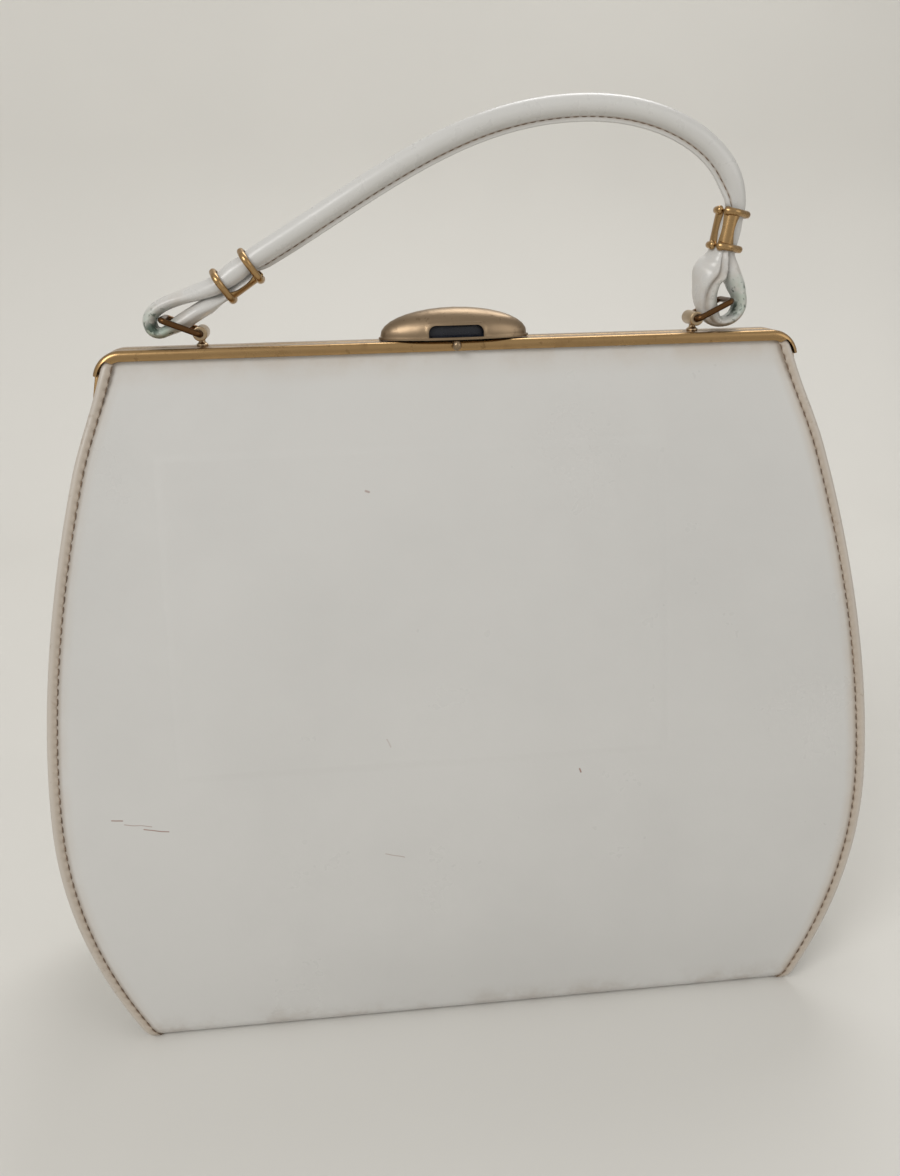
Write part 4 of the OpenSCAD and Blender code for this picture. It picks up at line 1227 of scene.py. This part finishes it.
class HANDBAG_OT_stage(bpy.types.Operator):
    """Set the pale floor, the soft lamps and the camera"""

    bl_idname = "handbag.stage"
    bl_label = "Stage"

    def execute(self, context):
        scene = context.scene
        scene.view_settings.view_transform = "Standard"
        arc = np.linspace(0, np.pi / 2, 16)[1:]
        rows = [(y, 0.0) for y in np.linspace(FLOOR_FRONT, FLOOR_BEND, 16)]
        rows += [(FLOOR_BEND + FLOOR_R * math.sin(a), FLOOR_R - FLOOR_R * math.cos(a)) for a in arc]
        rows += [(FLOOR_BEND + FLOOR_R, z) for z in np.linspace(FLOOR_R, WALL_TOP, 8)[1:]]
        xs = np.linspace(-FLOOR_HALF, FLOOR_HALF, 21)
        points = [(x, y, z) for y, z in rows for x in xs]
        n = len(xs)
        starts = [i * n + k for i in range(len(rows) - 1) for k in range(n - 1)]
        faces = [(i, i + 1, i + n + 1, i + n) for i in starts]
        mesh = bpy.data.meshes.new("pale_floor")
        mesh.from_pydata(points, [], faces)
        mesh.shade_smooth()
        f = Finish("Pale floor")
        pale = tuple(colours().floor)
        base = f.mix(f.span(f.noise(3.0, 3.0), 0.3, 0.7), pale, shade(pale, 0.97))
        f.set(Base_Color=base, Roughness=0.8, Specular_IOR_Level=0.2)
        mesh.materials.append(f.material)
        floor = bpy.data.objects.new("pale_floor", mesh)
        scene.collection.objects.link(floor)

        world = bpy.data.worlds.new("Soft room")
        scene.world = world
        world.use_nodes = True
        tree = world.node_tree
        rays = add_node(tree, "ShaderNodeLightPath").outputs
        seen = rays["Is Camera Ray"]
        for name in ("Is Glossy Ray", "Is Transmission Ray"):
            seen = add_node(tree, "ShaderNodeMath", {0: seen, 1: rays[name]}, operation="MAXIMUM").outputs[0]
        levels = {"Value": seen, "To Min": ROOM_LEVEL, "To Max": SEEN_LEVEL}
        level = add_node(tree, "ShaderNodeMapRange", levels)
        ground = next(n for n in tree.nodes if n.type == "BACKGROUND")
        put(tree, ground.inputs["Color"], ROOM_TINT)
        put(tree, ground.inputs["Strength"], level.outputs["Result"])

        def lamp(name, at, aim, size, watts, tint=(1, 1, 1)):
            data = bpy.data.lights.new(name, "AREA")
            data.shape, data.size, data.energy, data.color = "DISK", size, watts, tint
            obj = bpy.data.objects.new(name, data)
            ahead = (np.array(aim) - np.array(at)) / np.linalg.norm(np.array(aim) - np.array(at))
            side = np.cross(ahead, (0, 0, 1))
            side /= np.linalg.norm(side)
            up = np.cross(side, ahead)
            turn = Matrix((side, up, -ahead)).transposed().to_4x4()
            turn.translation = at
            obj.matrix_world = turn
            scene.collection.objects.link(obj)

        lamp("Key lamp", (-0.95, -1.1, 1.15), (0.0, 0.0, 0.13), 0.9, 13.0, (1.0, 0.99, 0.975))
        lamp("Fill lamp", (1.2, -1.0, 0.7), (0.0, 0.0, 0.13), 1.2, 3.4, (1.0, 0.985, 0.96))
        lamp("Back lamp", (0.3, 0.7, 1.25), (0.0, 0.0, 0.15), 0.8, 6.5)

        data = bpy.data.cameras.new("Camera")
        data.sensor_fit, data.sensor_height, data.lens = "VERTICAL", FILM, FILM * LENS_SHARE
        data.clip_start = 0.01
        cam = bpy.data.objects.new("Camera", data)
        up, back = (tuple(-v for v in axis) for axis in (CAM_DOWN, CAM_AHEAD))
        turn = Matrix((CAM_RIGHT, up, back)).transposed().to_4x4()
        turn.translation = CAM_AT
        cam.matrix_world = turn
        scene.collection.objects.link(cam)
        scene.camera = cam
        return {"FINISHED"}


# ------------------------------------------------------------------ add-on


def length(name, text, default):
    return FloatProperty(name=name, description=text, default=default, min=0.0, subtype="DISTANCE",
                         unit="LENGTH", precision=5)


def colour(name, text, *rgb):
    return FloatVectorProperty(name=name, description=text, default=srgb(*rgb), size=3, min=0.0, max=1.0,
                               subtype="COLOR")


class HandbagSizes(bpy.types.PropertyGroup):
    edge_pitch: length("Edge stitch pitch", "Distance between stitches along the edge bindings", 0.0032)
    edge_stitch: length("Edge stitch length", "Length of a stitch on the edge bindings", 0.0024)
    handle_pitch: length("Handle stitch pitch", "Distance between stitches along the handle's flange", 0.0026)
    handle_stitch: length("Handle stitch length", "Length of a stitch on the handle's flange", 0.0019)
    thread: length("Thread thickness", "Thickness of the sewing thread", 0.0004)
    panel_crown: length("Panel crown", "How far the front and back swell in their middle", 0.0014)


class HandbagColours(bpy.types.PropertyGroup):
    vinyl: colour("Vinyl", "White vinyl of the body and handle", 198, 197, 194)
    # Also the colour of the painted shade under the frame's bar
    edge_vinyl: colour("Edge vinyl", "Yellowed vinyl of the edges", 180, 168, 154)
    grime: colour("Grime", "Dirt in the seams", 138, 120, 100)
    scuff: colour("Scuffs", "Brown marks on the front", 134, 98, 84)
    thread: colour("Thread", "Sewing thread", 100, 82, 66)
    gold: colour("Gold", "Plating of the frame and keepers", 172, 140, 97)
    clasp_gold: colour("Clasp gold", "Plating of the clasp", 146, 126, 102)
    lug_gold: colour("Lug gold", "Paler plating of the lugs", 180, 158, 128)
    bronze: colour("Bronze", "Browned wire of the rings", 92, 67, 42)
    tarnish: colour("Tarnish", "Browned plating", 96, 66, 40)
    verdigris: colour("Verdigris", "Green corrosion by the rings", 138, 168, 148)
    enamel: colour("Enamel", "Plate in the clasp", 18, 22, 34)
    lining: colour("Lining", "Cloth inside the bag", 214, 202, 180)
    board: colour("Board", "Board of the base", 150, 136, 114)
    floor: colour("Floor", "Floor and backdrop", 216, 214, 209)


class HANDBAG_PT_panel(bpy.types.Panel):
    """Steps that build the handbag"""

    bl_idname = "HANDBAG_PT_panel"
    bl_label = "Frame handbag"
    bl_space_type = "VIEW_3D"
    bl_region_type = "UI"
    bl_category = "Handbag"

    def draw(self, context):
        for step in STEPS:
            self.layout.operator(step.bl_idname)
        for group in (context.scene.handbag_sizes, context.scene.handbag_colours):
            for key in group.__annotations__:
                self.layout.prop(group, key)


STEPS = (HANDBAG_OT_wrapper, HANDBAG_OT_edges, HANDBAG_OT_gussets, HANDBAG_OT_lining, HANDBAG_OT_frame,
         HANDBAG_OT_clasp, HANDBAG_OT_rings, HANDBAG_OT_handle, HANDBAG_OT_stage)
CLASSES = (HandbagSizes, HandbagColours, *STEPS, HANDBAG_PT_panel)


def register():
    for cls in CLASSES:
        bpy.utils.register_class(cls)
    bpy.types.Scene.handbag_sizes = PointerProperty(type=HandbagSizes)
    bpy.types.Scene.handbag_colours = PointerProperty(type=HandbagColours)


def unregister():
    del bpy.types.Scene.handbag_colours
    del bpy.types.Scene.handbag_sizes
    for cls in reversed(CLASSES):
        bpy.utils.unregister_class(cls)


def main():
    register()
    for step in STEPS:
        group, name = step.bl_idname.split(".")
        getattr(getattr(bpy.ops, group), name)()
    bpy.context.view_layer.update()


if __name__ == "__main__":
    main()
